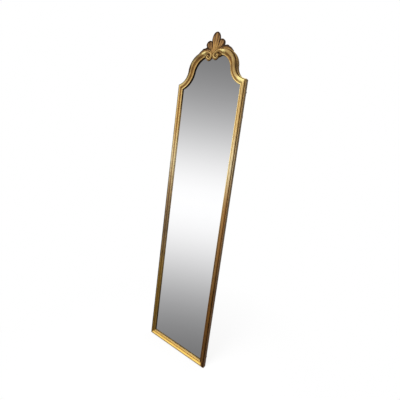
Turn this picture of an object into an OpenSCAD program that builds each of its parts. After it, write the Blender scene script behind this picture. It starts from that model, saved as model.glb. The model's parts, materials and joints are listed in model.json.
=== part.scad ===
// Gilt pier mirror: a tall moulded frame with mitred corners, coved shoulders and a two-part
// arched top that curls into a pair of scrolls under a carved shell crest.
// Millimetres. +Z is up, the glass faces -Y, X runs across the width. The origin is at the
// bottom centre of the whole mirror. Depths inside the moulding are measured backwards from
// the crest of the main round of the moulding.

/* [Frame] */
// Width over the two stiles
frame_w = 450; // [400:5:520]
// Height of the outer corner of each shoulder
shoulder_h = 1657; // [1200:1:1800]
// Width of the moulding on the stiles and the bottom rail
mould_w = 31.5; // [31:0.5:36]
// Width of the thin bead along the glass
bead_w = 6; // [3:0.5:7]
// Width of the hollow between that bead and the main round
hollow_w = 5.5; // [4:0.5:8]
// Width of the main round
round_w = 15; // [11:0.5:16]
// Width of the groove outside the main round
groove_w = 1.5; // [1:0.5:3]
// How far the front of the bead's foot lies behind the main round
sight_depth = 11.4; // [10:0.2:13]
// Height of the main round above its foot
round_rise = 6.2; // [5:0.2:7.5]
// Height of the bead along the glass
bead_rise = 2; // [1:0.2:3]
// Depth of the groove's floor
groove_depth = 11; // [8:0.2:11.4]
// Height of the outer bead above the groove's floor
edge_rise = 3; // [2:0.2:5]
// Depth of the wooden lip in front of the glass
lip_t = 7; // [4:0.5:9]

/* [Glass and back] */
// Thickness of the mirror glass
glass_t = 4; // [3:0.5:6]
// Thickness of the soft sheet behind the glass
liner_t = 2; // [1:0.5:4]
// Thickness of the backboard
board_t = 6; // [4:0.5:9]
// How far the backboard lies inside the frame's back
board_inset = 0.6; // [0.2:0.1:3]
// How far the lip covers the glass
glass_lap = 7; // [5:0.5:7.5]
// Width of the rebate that holds the glass
rebate_w = 9.5; // [9:0.5:11]
// Width of the shelf that carries the backboard
shelf_w = 7.5; // [7:0.5:9]
// Gap round the edge of the backboard
board_gap = 0.5; // [0.3:0.1:1]
// Length of each packing strip round the glass
packer_l = 30; // [15:1:60]
// Packing strips up each side
packer_rows = 4; // [2:1:8]

/* [Arched top] */
// Distance from the centre line to the centre of each arch's outer curve
arch_cx = 64; // [58:1:70]
// Height of that centre above the shoulder
arch_cz = 68; // [62:1:74]
// Radius of the arch's outer curve
arch_r = 97; // [93:1:101]
// Radius of the cove's outer curve
cove_r = 77; // [68:1:90]
// Distance from the centre line to the centre of the arch's curve at the glass
sight_cx = 30; // [26:1:34]
// Height of that centre above the shoulder
sight_cz = 48.5; // [46:0.5:51]
// Radius of the arch's curve at the glass
sight_r = 90.5; // [87:0.5:93]
// Radius of the cove's curve at the glass
sight_cove_r = 115; // [100:1:130]
// How far the inner corner of the shoulder lies below the outer one
shoulder_drop = 26.5; // [20:0.5:32]
// Half width of the crown block, where both arches end
crown_x = 56; // [52:1:60]
// How far the middle of the crown block hangs below the arches' ends
apron_drop = 7; // [3:0.5:10]
// Height of the crest's seat above the shoulder
seat_z = 152; // [150:1:155]
// How much the main round swells towards the scrolls
swell = 1.5; // [0:0.1:2.5]

/* [Scrolls] */
// Distance from the centre line to each scroll's eye
eye_x = 23; // [22.5:0.5:26]
// Height of the eye above the shoulder
eye_z = 131; // [129:0.5:133]
// Outer radius of the scroll's curl
curl_r = 21; // [17:0.5:21]
// Width of the ridge of the curl
ridge_w = 13.5; // [11:0.5:14]
// How far the scrolls stand in front of the main round
scroll_proud = 3; // [1:0.5:5]
// Depth of the flat back of the scrolls
scroll_back = 10; // [9.5:0.5:12]
// Thickness of the web inside the curl
web_t = 6; // [3:0.5:8]

/* [Crest] */
// Height of the crest above its seat
crest_h = 112; // [98:1:126]
// Half width of the tall middle lobe
lobe_w = 24; // [20:0.5:28]
// Height of the middle lobe's centre above the seat
lobe_z = 74; // [70:1:78]
// Radius of each side lobe
side_r = 20; // [17:0.5:22]
// Distance from the centre line to the centre of a side lobe
side_x = 38; // [35:0.5:41]
// Height of that centre above the seat
side_z = 50; // [47:0.5:53]
// Depth of the crest's front at its seat
crest_front = 13; // [12.5:0.5:16]
// How far the crest leans back over its height
crest_rake = 8; // [4:0.5:11]
// Depth of the hollows in the lobes
scoop = 3; // [1:0.5:4]
// Height of a leaf above the arch where it meets the crest
leaf_h = 23; // [12:1:26]
// Thickness of a leaf
leaf_t = 15; // [8:1:17]

/* [Joints in the wood] */
// Leg of the triangular key in each bottom corner
key_leg = 36; // [24:1:44]
// Thickness of the corner keys
key_t = 3; // [2:0.5:4]
// Depth of the keys' front
key_depth = 12.5; // [11:0.5:14]
// Radius of the dowels
dowel_r = 3; // [2:0.25:3.5]
// Length of the dowels
dowel_l = 24; // [16:1:28]
// Depth of the dowels' centre line
dowel_depth = 14; // [13:0.5:15]
// Distance from the centre line to each crest dowel
crest_dowel_x = 20; // [12:1:30]
// Free space round dowels and screws
fit_gap = 0.05; // [0.03:0.01:0.1]

/* [Screws] */
// Radius of the backboard screws' shanks
screw_r = 1.5; // [1.2:0.1:1.9]
// Radius of their countersunk heads
head_r = 2.9; // [2.5:0.1:3.2]
// Length of the backboard screws
screw_l = 18; // [14:1:20]
// Screws up each stile
stile_screws = 6; // [3:1:10]
// Half the distance between the outer screws in the bottom rail
rail_screw_x = 130; // [60:5:160]

/* [Hangers] */
// Distance from the shoulder down to the hangers' hinge
hanger_drop = 177; // [140:1:500]
// Distance from the sight edge to the middle of a hanger
hanger_u = 22.5; // [22.5:0.1:23]
// Width of the strap
strap_w = 10; // [8:0.5:11]
// Length of the strap below the hinge
strap_l = 46; // [42:1:60]
// Thickness of the strap
strap_t = 1; // [0.8:0.1:1.4]
// Radius of the ring's wire
wire_r = 1.4; // [1.2:0.1:1.6]
// Free space between the wire and the strap's rolled eye
eye_gap = 0.08; // [0.05:0.01:0.1]
// Half width of the ring to the middle of its wire
ring_hw = 7; // [6.8:0.1:7.2]
// Length of the ring's straight sides
ring_leg = 11; // [8:0.5:14]
// Distance from the hinge to the first strap screw
strap_screw_z = 27; // [24:0.5:30]
// Distance between the two strap screws
strap_screw_pitch = 12; // [9:0.5:14]
// Length of the strap screws
strap_screw_l = 16; // [10:1:18]
// Radius of the wall bumpers
bumper_r = 6.5; // [5:0.5:7]
// Thickness of the wall bumpers
bumper_t = 6.5; // [6:0.5:9]
// Distance from each end of a stile to its bumper
bumper_end = 60; // [45:1:100]

/* [Hidden] */
$fn = 48;

gold = [0.80, 0.62, 0.28];
dark_gold = [0.66, 0.47, 0.20];
pale_gold = [0.90, 0.74, 0.40];
raw_wood = [0.72, 0.56, 0.38];

eps = 0.01;
half_w = frame_w / 2;
in_x = half_w - mould_w;
glass_y = sight_depth + lip_t;
liner_y = glass_y + glass_t;
shelf_y = liner_y + liner_t;
depth = shelf_y + board_t + board_inset;
board_u = rebate_w + shelf_w;
// Middle of the whole depth, from the scrolls' fronts to the wall side of the bumpers
mid_y = (depth + bumper_t - scroll_proud) / 2;

// ---- plane geometry: points are [x, z], z above the shoulder for the arched top ----

// Point at distance r and angle a from c
function polar(c, r, a) = c + r * [cos(a), sin(a)];
function mix(a, b, t) = a + (b - a) * t;
function bearing(p, q) = atan2(q.y - p.y, q.x - p.x);
// The point at distance p_r from p and q_r from q, on the right of the way from p to q
function meet(p, p_r, q, q_r) =
  let(d = norm(q - p), a = (p_r * p_r - q_r * q_r + d * d) / (2 * d),
      h = sqrt(p_r * p_r - a * a), u = (q - p) / d)
  p + a * u + h * [u.y, -u.x];

arch_c = [arch_cx, arch_cz];
sight_c = [sight_cx, sight_cz];
outer_corner = [half_w, 0];
inner_corner = [in_x, -shoulder_drop];
// Each cove starts at its corner and runs into the arch's curve without a kink
cove_c = meet(outer_corner, cove_r, arch_c, arch_r + cove_r);
sight_cove_c = meet(inner_corner, sight_cove_r, sight_c, sight_r + sight_cove_r);

cove_rings = 12;
arch_rings = 20;
leaf_rings = 8;

function arc_angle(a0, a1, t) = mix(a0, a1, t);
// The cove turns clockwise, so its angles are taken in the range that falls from corner to waist
function falling(a) = a > 0 ? a - 360 : a;
function cove_out(t) =
  polar(cove_c, cove_r, arc_angle(bearing(cove_c, outer_corner),
                                  falling(bearing(cove_c, arch_c)), t));
function cove_in(t) =
  polar(sight_cove_c, sight_cove_r, arc_angle(bearing(sight_cove_c, inner_corner),
                                              falling(bearing(sight_cove_c, sight_c)), t));
function arch_out(t) =
  polar(arch_c, arch_r, arc_angle(bearing(arch_c, cove_c),
                                  acos((crown_x - arch_cx) / arch_r), t));
function arch_in(t) =
  polar(sight_c, sight_r, arc_angle(bearing(sight_c, sight_cove_c),
                                    acos((crown_x - sight_cx) / sight_r), t));
// The point u millimetres out from the sight line, on the section through both curves
function across(p_in, p_out, u) = p_in + u * (p_out - p_in) / norm(p_out - p_in);

crown_in = arch_in(1);
crown_out = arch_out(1);

// ---- the moulding's section ----

// Half round from u0 to u1, standing rise in front of depth y
function half_round(u0, u1, y, rise, n) =
  [for (i = [0:n]) [mix(u0, u1, (1 - cos(180 * i / n)) / 2), y - rise * sin(180 * i / n)]];
// Hollow that leaves depth y0 level and turns up to depth y1
function hollow(u0, u1, y0, y1, n) =
  [for (i = [1:n - 1]) [mix(u0, u1, sin(90 * i / n)), mix(y0, y1, 1 - cos(90 * i / n))]];

round_u = bead_w + hollow_w;
groove_u = round_u + round_w;
edge_u = groove_u + groove_w;
front_line = concat(
  half_round(0, bead_w, sight_depth, bead_rise, 5),
  hollow(bead_w, round_u, sight_depth, round_rise, 4),
  half_round(round_u, groove_u, round_rise, round_rise, 9),
  [[groove_u + groove_w / 4, groove_depth]],
  half_round(edge_u, mould_w, groove_depth, edge_rise, 5)
);
// Whole section for a moulding w wide: the front stretches, the rebates keep their size
function section(w, lift = 0) = concat(
  [for (p = front_line) [p.x * w / mould_w, p.y - lift * max(0, 1 - p.y / round_rise)]],
  [[w, depth], [board_u, depth], [board_u, shelf_y], [rebate_w, shelf_y],
   [rebate_w, glass_y], [0, glass_y]]
);
// The section set up between two points, in the frame's own place
function ring(p_in, p_out, lift = 0) =
  let(w = norm(p_out - p_in))
  [for (s = section(w, lift)) let(q = across(p_in, p_out, s.x)) [q.x, s.y, shoulder_h + q.y]];

// Triangles between two chains of corners that both run from high x to low x, as indices
function stitch(pts, a, b, i = 0, j = 0) =
  i == len(a) - 1 && j == len(b) - 1 ? []
  : j == len(b) - 1 || (i < len(a) - 1 && pts[a[i + 1]].x > pts[b[j + 1]].x)
    ? concat([[a[i], b[j], a[i + 1]]], stitch(pts, a, b, i + 1, j))
    : concat([[a[i], b[j], b[j + 1]]], stitch(pts, a, b, i, j + 1));
front_n = len(front_line);
section_cap = stitch(section(mould_w), [for (i = [front_n - 1:-1:0]) i],
                     [for (i = [0:5]) front_n + i]);
function fan_cap(n) = [for (i = [1:n - 2]) [0, i, i + 1]];

// Solid through a row of closed rings, closed at both ends by the same triangles
module skin(rings, cap) {
  n = len(rings[0]);
  m = len(rings);
  points = [for (r = rings) for (p = r) p];
  sides = [for (k = [0:m - 2]) for (i = [0:n - 1]) let(j = (i + 1) % n)
           [k * n + i, (k + 1) * n + i, (k + 1) * n + j, k * n + j]];
  triangles = [for (s = sides) for (t = [[s[0], s[1], s[2]], [s[0], s[2], s[3]]]) t];
  ends = concat([for (t = cap) [t[0], t[1], t[2]]],
                [for (t = cap) (m - 1) * n * [1, 1, 1] + [t[0], t[2], t[1]]]);
  polyhedron(points, concat(triangles, ends), convexity = 10);
}

// Everything is drawn with depth 0 at the main round, then moved to the middle of the depth
module placed() translate([0, -mid_y, 0]) children();
// Outline in x and z, made solid between two depths
module slab(y0, y1) translate([0, y1, 0]) rotate([90, 0, 0]) linear_extrude(y1 - y0) children();
module mirrored_pair() {
  children();
  mirror([1, 0, 0]) children();
}
module rod(r, l) cylinder(r = r, h = l, center = true);

// ---- straight members ----

// The moulding's section drawn with its sight edge at x = 0
module section_shape() polygon(section(mould_w));

module stile() {
  difference() {
    translate([in_x, 0, 0]) linear_extrude(shoulder_h) section_shape();
    // bottom mitre
    slab(-depth, 2 * depth)
      polygon([[in_x - eps, -1], [half_w + 1, -1], [in_x - 1, mould_w + 1], [in_x - 1, -1]]);
    // shoulder mitre
    translate([0, 0, shoulder_h]) slab(-depth, 2 * depth)
      polygon([mix(outer_corner, inner_corner, 1.2), mix(outer_corner, inner_corner, -0.2),
               [half_w + 8, 20], [in_x - 20, 20], [in_x - 20, -shoulder_drop - 6]]);
    corner_key();
    shoulder_dowel(fit_gap);
    for (z = stile_sites) translate([screw_x, 0, z]) screw_bore();
    translate([hanger_x, 0, hanger_z]) strap_bores();
  }
}

module rail() {
  difference() {
    translate([-half_w, 0, 0]) rotate([90, 0, 90]) linear_extrude(frame_w) rail_shape();
    mirrored_pair() slab(-depth, 2 * depth)
      polygon([[half_w, 0], [half_w + 1, -1], [half_w + 1, mould_w + 1],
               [in_x - 1, mould_w + 1]]);
    mirrored_pair() corner_key();
    for (x = rail_sites) translate([x, 0, screw_rail_z]) screw_bore();
  }
}
// The section stood up: depth across, and height above the floor edge up
module rail_shape() polygon([for (s = section(mould_w)) [s.y, mould_w - s.x]]);

// ---- arched top ----

module cove() {
  difference() {
    skin([for (k = [0:cove_rings]) let(t = k / cove_rings) ring(cove_in(t), cove_out(t))],
         section_cap);
    shoulder_dowel(fit_gap);
    waist_dowel(fit_gap);
    for (t = cove_sites) at_section(cove_in(t), cove_out(t)) screw_bore();
  }
}

module arch() {
  difference() {
    skin([for (k = [0:arch_rings + 1]) let(t = k / arch_rings)
          ring(arch_in(t), arch_out(t), swell * t * t)], section_cap);
    // the end is sawn off flat against the crown block
    translate([0, -depth, 0]) cube([crown_x, 3 * depth, 2 * shoulder_h]);
    waist_dowel(fit_gap);
    crown_dowel(fit_gap);
    for (t = arch_sites) at_section(arch_in(t), arch_out(t)) screw_bore();
  }
}

// Lower edge of the crown block, raised by u
function apron(u) = [
  [crown_x, crown_in.y + u], [crown_x * 0.8, crown_in.y - apron_drop * 0.45 + u],
  [crown_x * 0.5, crown_in.y - apron_drop + u], [-crown_x * 0.5, crown_in.y - apron_drop + u],
  [-crown_x * 0.8, crown_in.y - apron_drop * 0.45 + u], [-crown_x, crown_in.y + u]
];

module crown_solid() {
  difference() {
    translate([0, 0, shoulder_h]) difference() {
      slab(scroll_back, depth)
        polygon(concat(apron(0), [[-crown_x, seat_z], [crown_x, seat_z]]));
      slab(glass_y, depth + 1) under_apron(rebate_w);
      slab(shelf_y, depth + 1) under_apron(board_u);
    }
    mirrored_pair() crown_dowel(fit_gap);
    mirrored_pair() crest_dowel(fit_gap);
    translate([0, 0, shoulder_h + crown_site_z]) screw_bore();
  }
}
module under_apron(u) polygon(concat(apron(u), [[-crown_x - 1, crown_in.y + u],
  [-crown_x - 1, 0], [crown_x + 1, 0], [crown_x + 1, crown_in.y + u]]));

// ---- scrolls ----

eye = [eye_x, eye_z];
lead_out = crown_out - eye;
lead_in = crown_in - eye;
// Turns are counted in quarters: 0 at the arch's end, 1 over the eye, 4.7 where the curl ends
curl_turns = 4.7;
scroll_steps = 44;
inner_r = curl_r - ridge_w;
function scroll_out(t) =
  let(a = t < 1 ? mix(bearing([0, 0], lead_out), 90, t) : 90 * t,
      r = lookup(t, [[0, norm(lead_out)], [0.5, mix(norm(lead_out), curl_r + 11, 0.62)],
                     [1, curl_r + 11], [1.5, curl_r + 5], [2, curl_r + 1.5], [3, curl_r],
                     [4, curl_r - 2.5], [curl_turns, curl_r - 7]]))
  polar(eye, r, a);
function scroll_in(t) =
  let(a = t < 1 ? mix(bearing([0, 0], lead_in), 90, t) : 90 * t,
      r = lookup(t, [[0, norm(lead_in)], [0.5, mix(norm(lead_in), curl_r - 8, 0.55)],
                     [1, curl_r - 8], [1.5, inner_r + 3.5], [2, inner_r + 1], [3, inner_r],
                     [4, inner_r - 0.5], [curl_turns, 1]]))
  polar(eye, r, a);
// Flat back; the front starts as the arch's moulding and turns into one round ridge
scroll_n = 16;
function scroll_ring(t) =
  let(p = scroll_in(t), q = scroll_out(t), round_in = min(1, t / 0.9),
      top = -min(scroll_proud, 1.5 + scroll_proud * t / 2))
  [for (i = [0:scroll_n])
   let(u = (1 - cos(180 * i / scroll_n)) / 2, c = mix(p, q, u),
       arch_y = lookup(u * mould_w, front_line),
       moulded = min(scroll_back - 0.5, arch_y - swell * max(0, 1 - arch_y / round_rise)),
       ridge = mix(scroll_back - 2, top, pow(sin(180 * i / scroll_n), 0.7)))
   [c.x, i == 0 || i == scroll_n ? scroll_back : mix(moulded, ridge, round_in),
    shoulder_h + c.y]];

module scroll() {
  skin([for (k = [0:scroll_steps]) scroll_ring(curl_turns * k / scroll_steps)],
       fan_cap(scroll_n + 1));
  translate([eye_x, scroll_back, shoulder_h + eye_z]) rotate([90, 0, 0])
    cylinder(r1 = curl_r - 5, r2 = curl_r - 7, h = web_t);
}

// ---- crest ----

crest_steps = 60;
crest_bands = 6;
// How far a ray at angle a from the seat's middle runs to leave an ellipse
function ray_out(c, rx, rz, a) =
  let(ux = cos(a) / rx, uz = sin(a) / rz, cx = c.x / rx, cz = c.y / rz,
      aa = ux * ux + uz * uz, bb = ux * cx + uz * cz, d = bb * bb - aa * (cx * cx + cz * cz - 1))
  d < 0 ? 0 : (bb + sqrt(d)) / aa;
skirt_hw = crown_x - 0.5;
// The sides rise straight from the seat until they run into the side lobes
skirt_z = side_z - 0.6 * side_r;
function crest_r(a) = max(
  ray_out([0, 0], skirt_hw, skirt_z + side_r, a),
  abs(tan(a)) < skirt_z / skirt_hw ? skirt_hw / abs(cos(a)) : 0,
  ray_out([0, lobe_z], lobe_w, crest_h - lobe_z, a),
  ray_out([side_x, side_z], side_r, side_r, a),
  ray_out([-side_x, side_z], side_r, side_r, a));
// Depth of the front: raked back, hollowed inside each lobe, ribbed from the middle of the seat
function crest_y(a, s) =
  crest_front + crest_rake * s * crest_r(a) * sin(a) / crest_h
  + scoop * (s < 0.25 ? 0 : pow(sin(180 * min(1, (s - 0.25) / 0.62)), 2))
  - 1.2 * s * cos(9 * (a - 90)) + (s > 0.92 ? 2.5 : 0);

module crest() {
  n = crest_steps;
  m = crest_bands;
  row = m + 1;
  front = [for (i = [0:n]) for (j = [1:m]) let(a = 180 * i / n, s = j / m, r = crest_r(a) * s)
           [r * cos(a), crest_y(a, s), r * sin(a)]];
  back = [for (i = [0:n]) let(a = 180 * i / n, r = crest_r(a)) [r * cos(a), depth, r * sin(a)]];
  hub = len(front) + len(back);
  heel = hub + 1;
  function f(i, j) = j == 0 ? hub : i * m + j - 1;
  function b(i) = len(front) + i;
  points = concat(front, back, [[0, crest_front, 0], [0, depth, 0]]);
  faces = concat(
    [for (i = [0:n - 1]) [hub, f(i + 1, 1), f(i, 1)]],
    [for (i = [0:n - 1]) for (j = [1:m - 1]) [f(i, j), f(i + 1, j + 1), f(i, j + 1)]],
    [for (i = [0:n - 1]) for (j = [1:m - 1]) [f(i, j), f(i + 1, j), f(i + 1, j + 1)]],
    [for (i = [0:n - 1]) [f(i, m), b(i + 1), b(i)]],
    [for (i = [0:n - 1]) [f(i, m), f(i + 1, m), b(i + 1)]],
    [for (i = [0:n - 1]) [heel, b(i), b(i + 1)]],
    [for (j = [0:m - 1]) [heel, f(0, j), f(0, j + 1)]],
    [for (j = [0:m - 1]) [heel, f(n, j + 1), f(n, j)]],
    [[heel, f(0, m), b(0)], [heel, b(n), f(n, m)]]
  );
  difference() {
    translate([0, 0, shoulder_h + seat_z]) polyhedron(points, faces, convexity = 10);
    mirrored_pair() crest_dowel(fit_gap);
  }
}

// A leaf lies on the last rings of the arch and thins out away from the crest
function leaf_ring(k) =
  let(t = (arch_rings - k) / arch_rings, p = arch_out(t), q = arch_in(t),
      up = (p - q) / norm(p - q), s = k / leaf_rings,
      h = mix(leaf_h, 3, pow(s, 0.7)), y0 = depth - leaf_t + 3 * s,
      tip = [[0, y0 + 2], [h * 0.55, y0], [h * 0.9, y0 + 2.5], [h, y0 + 6], [h, depth - 1],
             [h - 1, depth], [0, depth]])
  [for (c = tip) let(w = p + c.x * up) [w.x, c.y, shoulder_h + w.y]];
module leaf() skin([for (k = [0:leaf_rings]) leaf_ring(leaf_rings - k)], fan_cap(7));

// ---- keys and dowels ----

module corner_key() slab(key_depth, key_depth + key_t)
  polygon([[half_w, 0], [half_w, key_leg], [half_w - key_leg, 0]]);

// Dowel square to the section between two points
module dowel_between(p_in, p_out, gap) {
  c = (p_in + p_out) / 2;
  translate([c.x, dowel_depth, shoulder_h + c.y])
    rotate([0, -bearing(p_in, p_out), 0]) rod(dowel_r + gap, dowel_l + 2 * gap);
}
module shoulder_dowel(gap = 0) dowel_between(inner_corner, outer_corner, gap);
module waist_dowel(gap = 0) dowel_between(arch_in(0), arch_out(0), gap);
module crown_dowel(gap = 0) dowel_between(crown_in, [crown_x, seat_z], gap);
module crest_dowel(gap = 0)
  translate([crest_dowel_x, (crest_front + shelf_y) / 2, shoulder_h + seat_z])
    rod(dowel_r + gap, dowel_l + 2 * gap);

// ---- glass, sheet and board ----

// Outline u outside the sight line, from the bottom left round to the bottom right
function top_line(u) = concat(
  [for (k = [0:cove_rings]) let(t = k / cove_rings) across(cove_in(t), cove_out(t), u)],
  [for (k = [1:arch_rings]) let(t = k / arch_rings) across(arch_in(t), arch_out(t), u)]);
function flipped(line) = [for (i = [len(line) - 1:-1:0]) [-line[i].x, line[i].y]];
module outline(u) {
  line = [for (p = top_line(u)) if (p.x < in_x + u - eps) p];
  apron_line = [for (i = [1:4]) apron(u)[i]];
  corner = [in_x + u, sight_side_z(u)];
  polygon(concat([[in_x + u, mould_w - u - shoulder_h], corner], line, apron_line,
                 flipped(line), [[-corner.x, corner.y], [-in_x - u, mould_w - u - shoulder_h]]));
}
// Height where the outline's side meets the first point of its cove
function sight_side_z(u) =
  let(slope = (outer_corner.y - inner_corner.y) / (outer_corner.x - inner_corner.x))
  inner_corner.y + u * slope;
module sheet(u, y0, y1) translate([0, 0, shoulder_h]) slab(y0, y1) outline(u);

packer_t = rebate_w - glass_lap;
packer_x = in_x + glass_lap;
packer_z0 = 150;
packer_step = (shoulder_h - 2 * packer_z0) / (packer_rows - 1);

// ---- screws ----

site_u = rebate_w + shelf_w / 2;
screw_x = in_x + site_u;
screw_rail_z = mould_w - site_u;
screw_end = 100;
stile_sites = [for (k = [0:stile_screws - 1])
  mix(screw_end, shoulder_h - screw_end, k / (stile_screws - 1))];
rail_sites = [-rail_screw_x, 0, rail_screw_x];
cove_sites = [0.55];
arch_sites = [0.3, 0.75];
crown_site_z = crown_in.y - apron_drop + site_u;
board_back = depth - board_inset;

module at_section(p_in, p_out) {
  c = across(p_in, p_out, site_u);
  translate([c.x, 0, shoulder_h + c.y]) children();
}
module board_sites() {
  mirrored_pair() {
    for (z = stile_sites) translate([screw_x, 0, z]) children();
    for (t = cove_sites) at_section(cove_in(t), cove_out(t)) children();
    for (t = arch_sites) at_section(arch_in(t), arch_out(t)) children();
  }
  for (x = rail_sites) translate([x, 0, screw_rail_z]) children();
  translate([0, 0, shoulder_h + crown_site_z]) children();
}
// Countersunk screw with its head flush at depth y and its point l in front of it
module countersunk(y, r, head, l, gap = 0) {
  translate([0, y, 0]) rotate([90, 0, 0]) {
    translate([0, 0, -gap]) cylinder(r1 = head + gap, r2 = r + gap, h = head - r + gap);
    cylinder(r = r + gap, h = l - r + gap);
    translate([0, 0, l - r + gap - eps]) cylinder(r1 = r + gap, r2 = 0.3, h = r);
  }
}
module screw_bore() countersunk(board_back, screw_r, head_r, screw_l, fit_gap);

// ---- hangers ----

hanger_x = in_x + hanger_u;
hanger_z = shoulder_h - hanger_drop;
roll_r = wire_r + eye_gap + strap_t;
// The wire lies this far behind the frame, so that the ring hangs just clear of its strap
hinge_y = depth + strap_t + 0.36 + wire_r;

module strap_screw(gap = 0)
  for (k = [0, 1]) translate([0, 0, -strap_screw_z - k * strap_screw_pitch])
    countersunk(depth + strap_t, screw_r, head_r, strap_screw_l, gap);
module strap_bores() strap_screw(fit_gap);

// Flat strap whose upper end is rolled round the straight side of the ring
module strap() {
  difference() {
    union() {
      strap_flat();
      translate([0, hinge_y, 0]) rotate([0, 90, 0]) rod(roll_r, strap_w);
    }
    translate([0, hinge_y, 0]) rotate([0, 90, 0]) rod(wire_r + eye_gap, strap_w + 2);
    strap_screw(fit_gap);
  }
}
module strap_flat() {
  translate([-strap_w / 2, depth, -strap_l + strap_w / 2])
    cube([strap_w, strap_t, strap_l - strap_w / 2]);
  translate([0, depth, -strap_l + strap_w / 2]) rotate([-90, 0, 0])
    cylinder(r = strap_w / 2, h = strap_t);
  // the bend that lifts the roll clear of the frame
  translate([-strap_w / 2, depth, -wire_r - eye_gap])
    cube([strap_w, hinge_y - depth - wire_r - eye_gap, wire_r + eye_gap]);
}

// Wire ring with one straight side, hanging from it
module ring_solid() {
  translate([0, hinge_y, 0]) {
    rotate([0, 90, 0]) rod(wire_r, 2 * ring_hw);
    mirrored_pair() {
      translate([ring_hw, 0, 0]) sphere(wire_r);
      translate([ring_hw, 0, -ring_leg]) cylinder(r = wire_r, h = ring_leg);
    }
    translate([0, 0, -ring_leg]) rotate([-90, 0, 0])
      rotate_extrude(angle = 180) translate([ring_hw, 0]) circle(wire_r);
  }
}

bumper_x = in_x + (board_u + mould_w) / 2;

// ---- nodes ----

module bottom_rail() color(gold) placed() rail();
module left_stile() color(gold) placed() mirror([1, 0, 0]) stile();
module right_stile() color(gold) placed() stile();
module left_cove() color(pale_gold) placed() mirror([1, 0, 0]) cove();
module right_cove() color(pale_gold) placed() cove();
module left_arch() color(gold) placed() mirror([1, 0, 0]) arch();
module right_arch() color(gold) placed() arch();
module crown_block() color(dark_gold) placed() crown_solid();
module left_scroll() color(pale_gold) placed() mirror([1, 0, 0]) scroll();
module right_scroll() color(pale_gold) placed() scroll();
module crest_shell() color(dark_gold) placed() crest();
module left_crest_leaf() color(dark_gold) placed() mirror([1, 0, 0]) leaf();
module right_crest_leaf() color(dark_gold) placed() leaf();
module corner_keys() color(raw_wood) placed() mirrored_pair() corner_key();
module shoulder_dowels() color(raw_wood) placed() mirrored_pair() shoulder_dowel();
module waist_dowels() color(raw_wood) placed() mirrored_pair() waist_dowel();
module crown_dowels() color(raw_wood) placed() mirrored_pair() crown_dowel();
module crest_dowels() color(raw_wood) placed() mirrored_pair() crest_dowel();

module mirror_glass() color([0.62, 0.64, 0.66]) placed() sheet(glass_lap, glass_y, liner_y);

module glass_packers() color([0.60, 0.45, 0.30]) placed() {
  mirrored_pair() {
    for (k = [0:packer_rows - 1])
      translate([packer_x, glass_y, packer_z0 + k * packer_step - packer_l / 2])
        cube([packer_t, glass_t, packer_l]);
    translate([in_x / 2 - packer_l / 2, glass_y, mould_w - rebate_w])
      cube([packer_l, glass_t, packer_t]);
  }
}

module backing_sheet() color([0.35, 0.33, 0.30]) placed() sheet(glass_lap, liner_y, shelf_y);

module backboard() color(raw_wood) placed() difference() {
  sheet(board_u - board_gap, shelf_y, board_back);
  board_sites() screw_bore();
}

module backboard_screws() color([0.70, 0.62, 0.42]) placed()
  board_sites() countersunk(board_back, screw_r, head_r, screw_l);

module left_hanger_strap() color([0.72, 0.60, 0.34]) placed()
  translate([-hanger_x, 0, hanger_z]) strap();
module right_hanger_strap() color([0.72, 0.60, 0.34]) placed()
  translate([hanger_x, 0, hanger_z]) strap();
module left_hanger_ring() color([0.76, 0.64, 0.38]) placed()
  translate([-hanger_x, 0, hanger_z]) ring_solid();
module right_hanger_ring() color([0.76, 0.64, 0.38]) placed()
  translate([hanger_x, 0, hanger_z]) ring_solid();
module hanger_screws() color([0.70, 0.62, 0.42]) placed() mirrored_pair()
  translate([hanger_x, 0, hanger_z]) strap_screw();

module wall_bumpers() color([0.25, 0.24, 0.22]) placed() mirrored_pair()
  for (z = [bumper_end, shoulder_h - bumper_end])
    translate([bumper_x, depth, z]) rotate([-90, 0, 0]) cylinder(r = bumper_r, h = bumper_t);

bottom_rail();
left_stile();
right_stile();
left_cove();
right_cove();
left_arch();
right_arch();
crown_block();
left_scroll();
right_scroll();
crest_shell();
left_crest_leaf();
right_crest_leaf();
corner_keys();
shoulder_dowels();
waist_dowels();
crown_dowels();
crest_dowels();
mirror_glass();
glass_packers();
backing_sheet();
backboard();
backboard_screws();
left_hanger_strap();
right_hanger_strap();
left_hanger_ring();
right_hanger_ring();
hanger_screws();
wall_bumpers();
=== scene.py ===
"""Looks of a tall gilt pier mirror.

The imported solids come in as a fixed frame. Finer mouldings, scrolls and carving take the place of the
plain ones, every surface gets its finish, and a pale studio with a camera stands round the mirror.
Sizes are millimetres where a name ends in _mm or a class says so, and metres elsewhere.
"""
import json
import logging
import math
from dataclasses import dataclass, field
from enum import Enum
from itertools import accumulate
from typing import Callable, ClassVar, Iterable, Sequence

import bmesh
import bpy
from mathutils import Matrix, Vector

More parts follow.
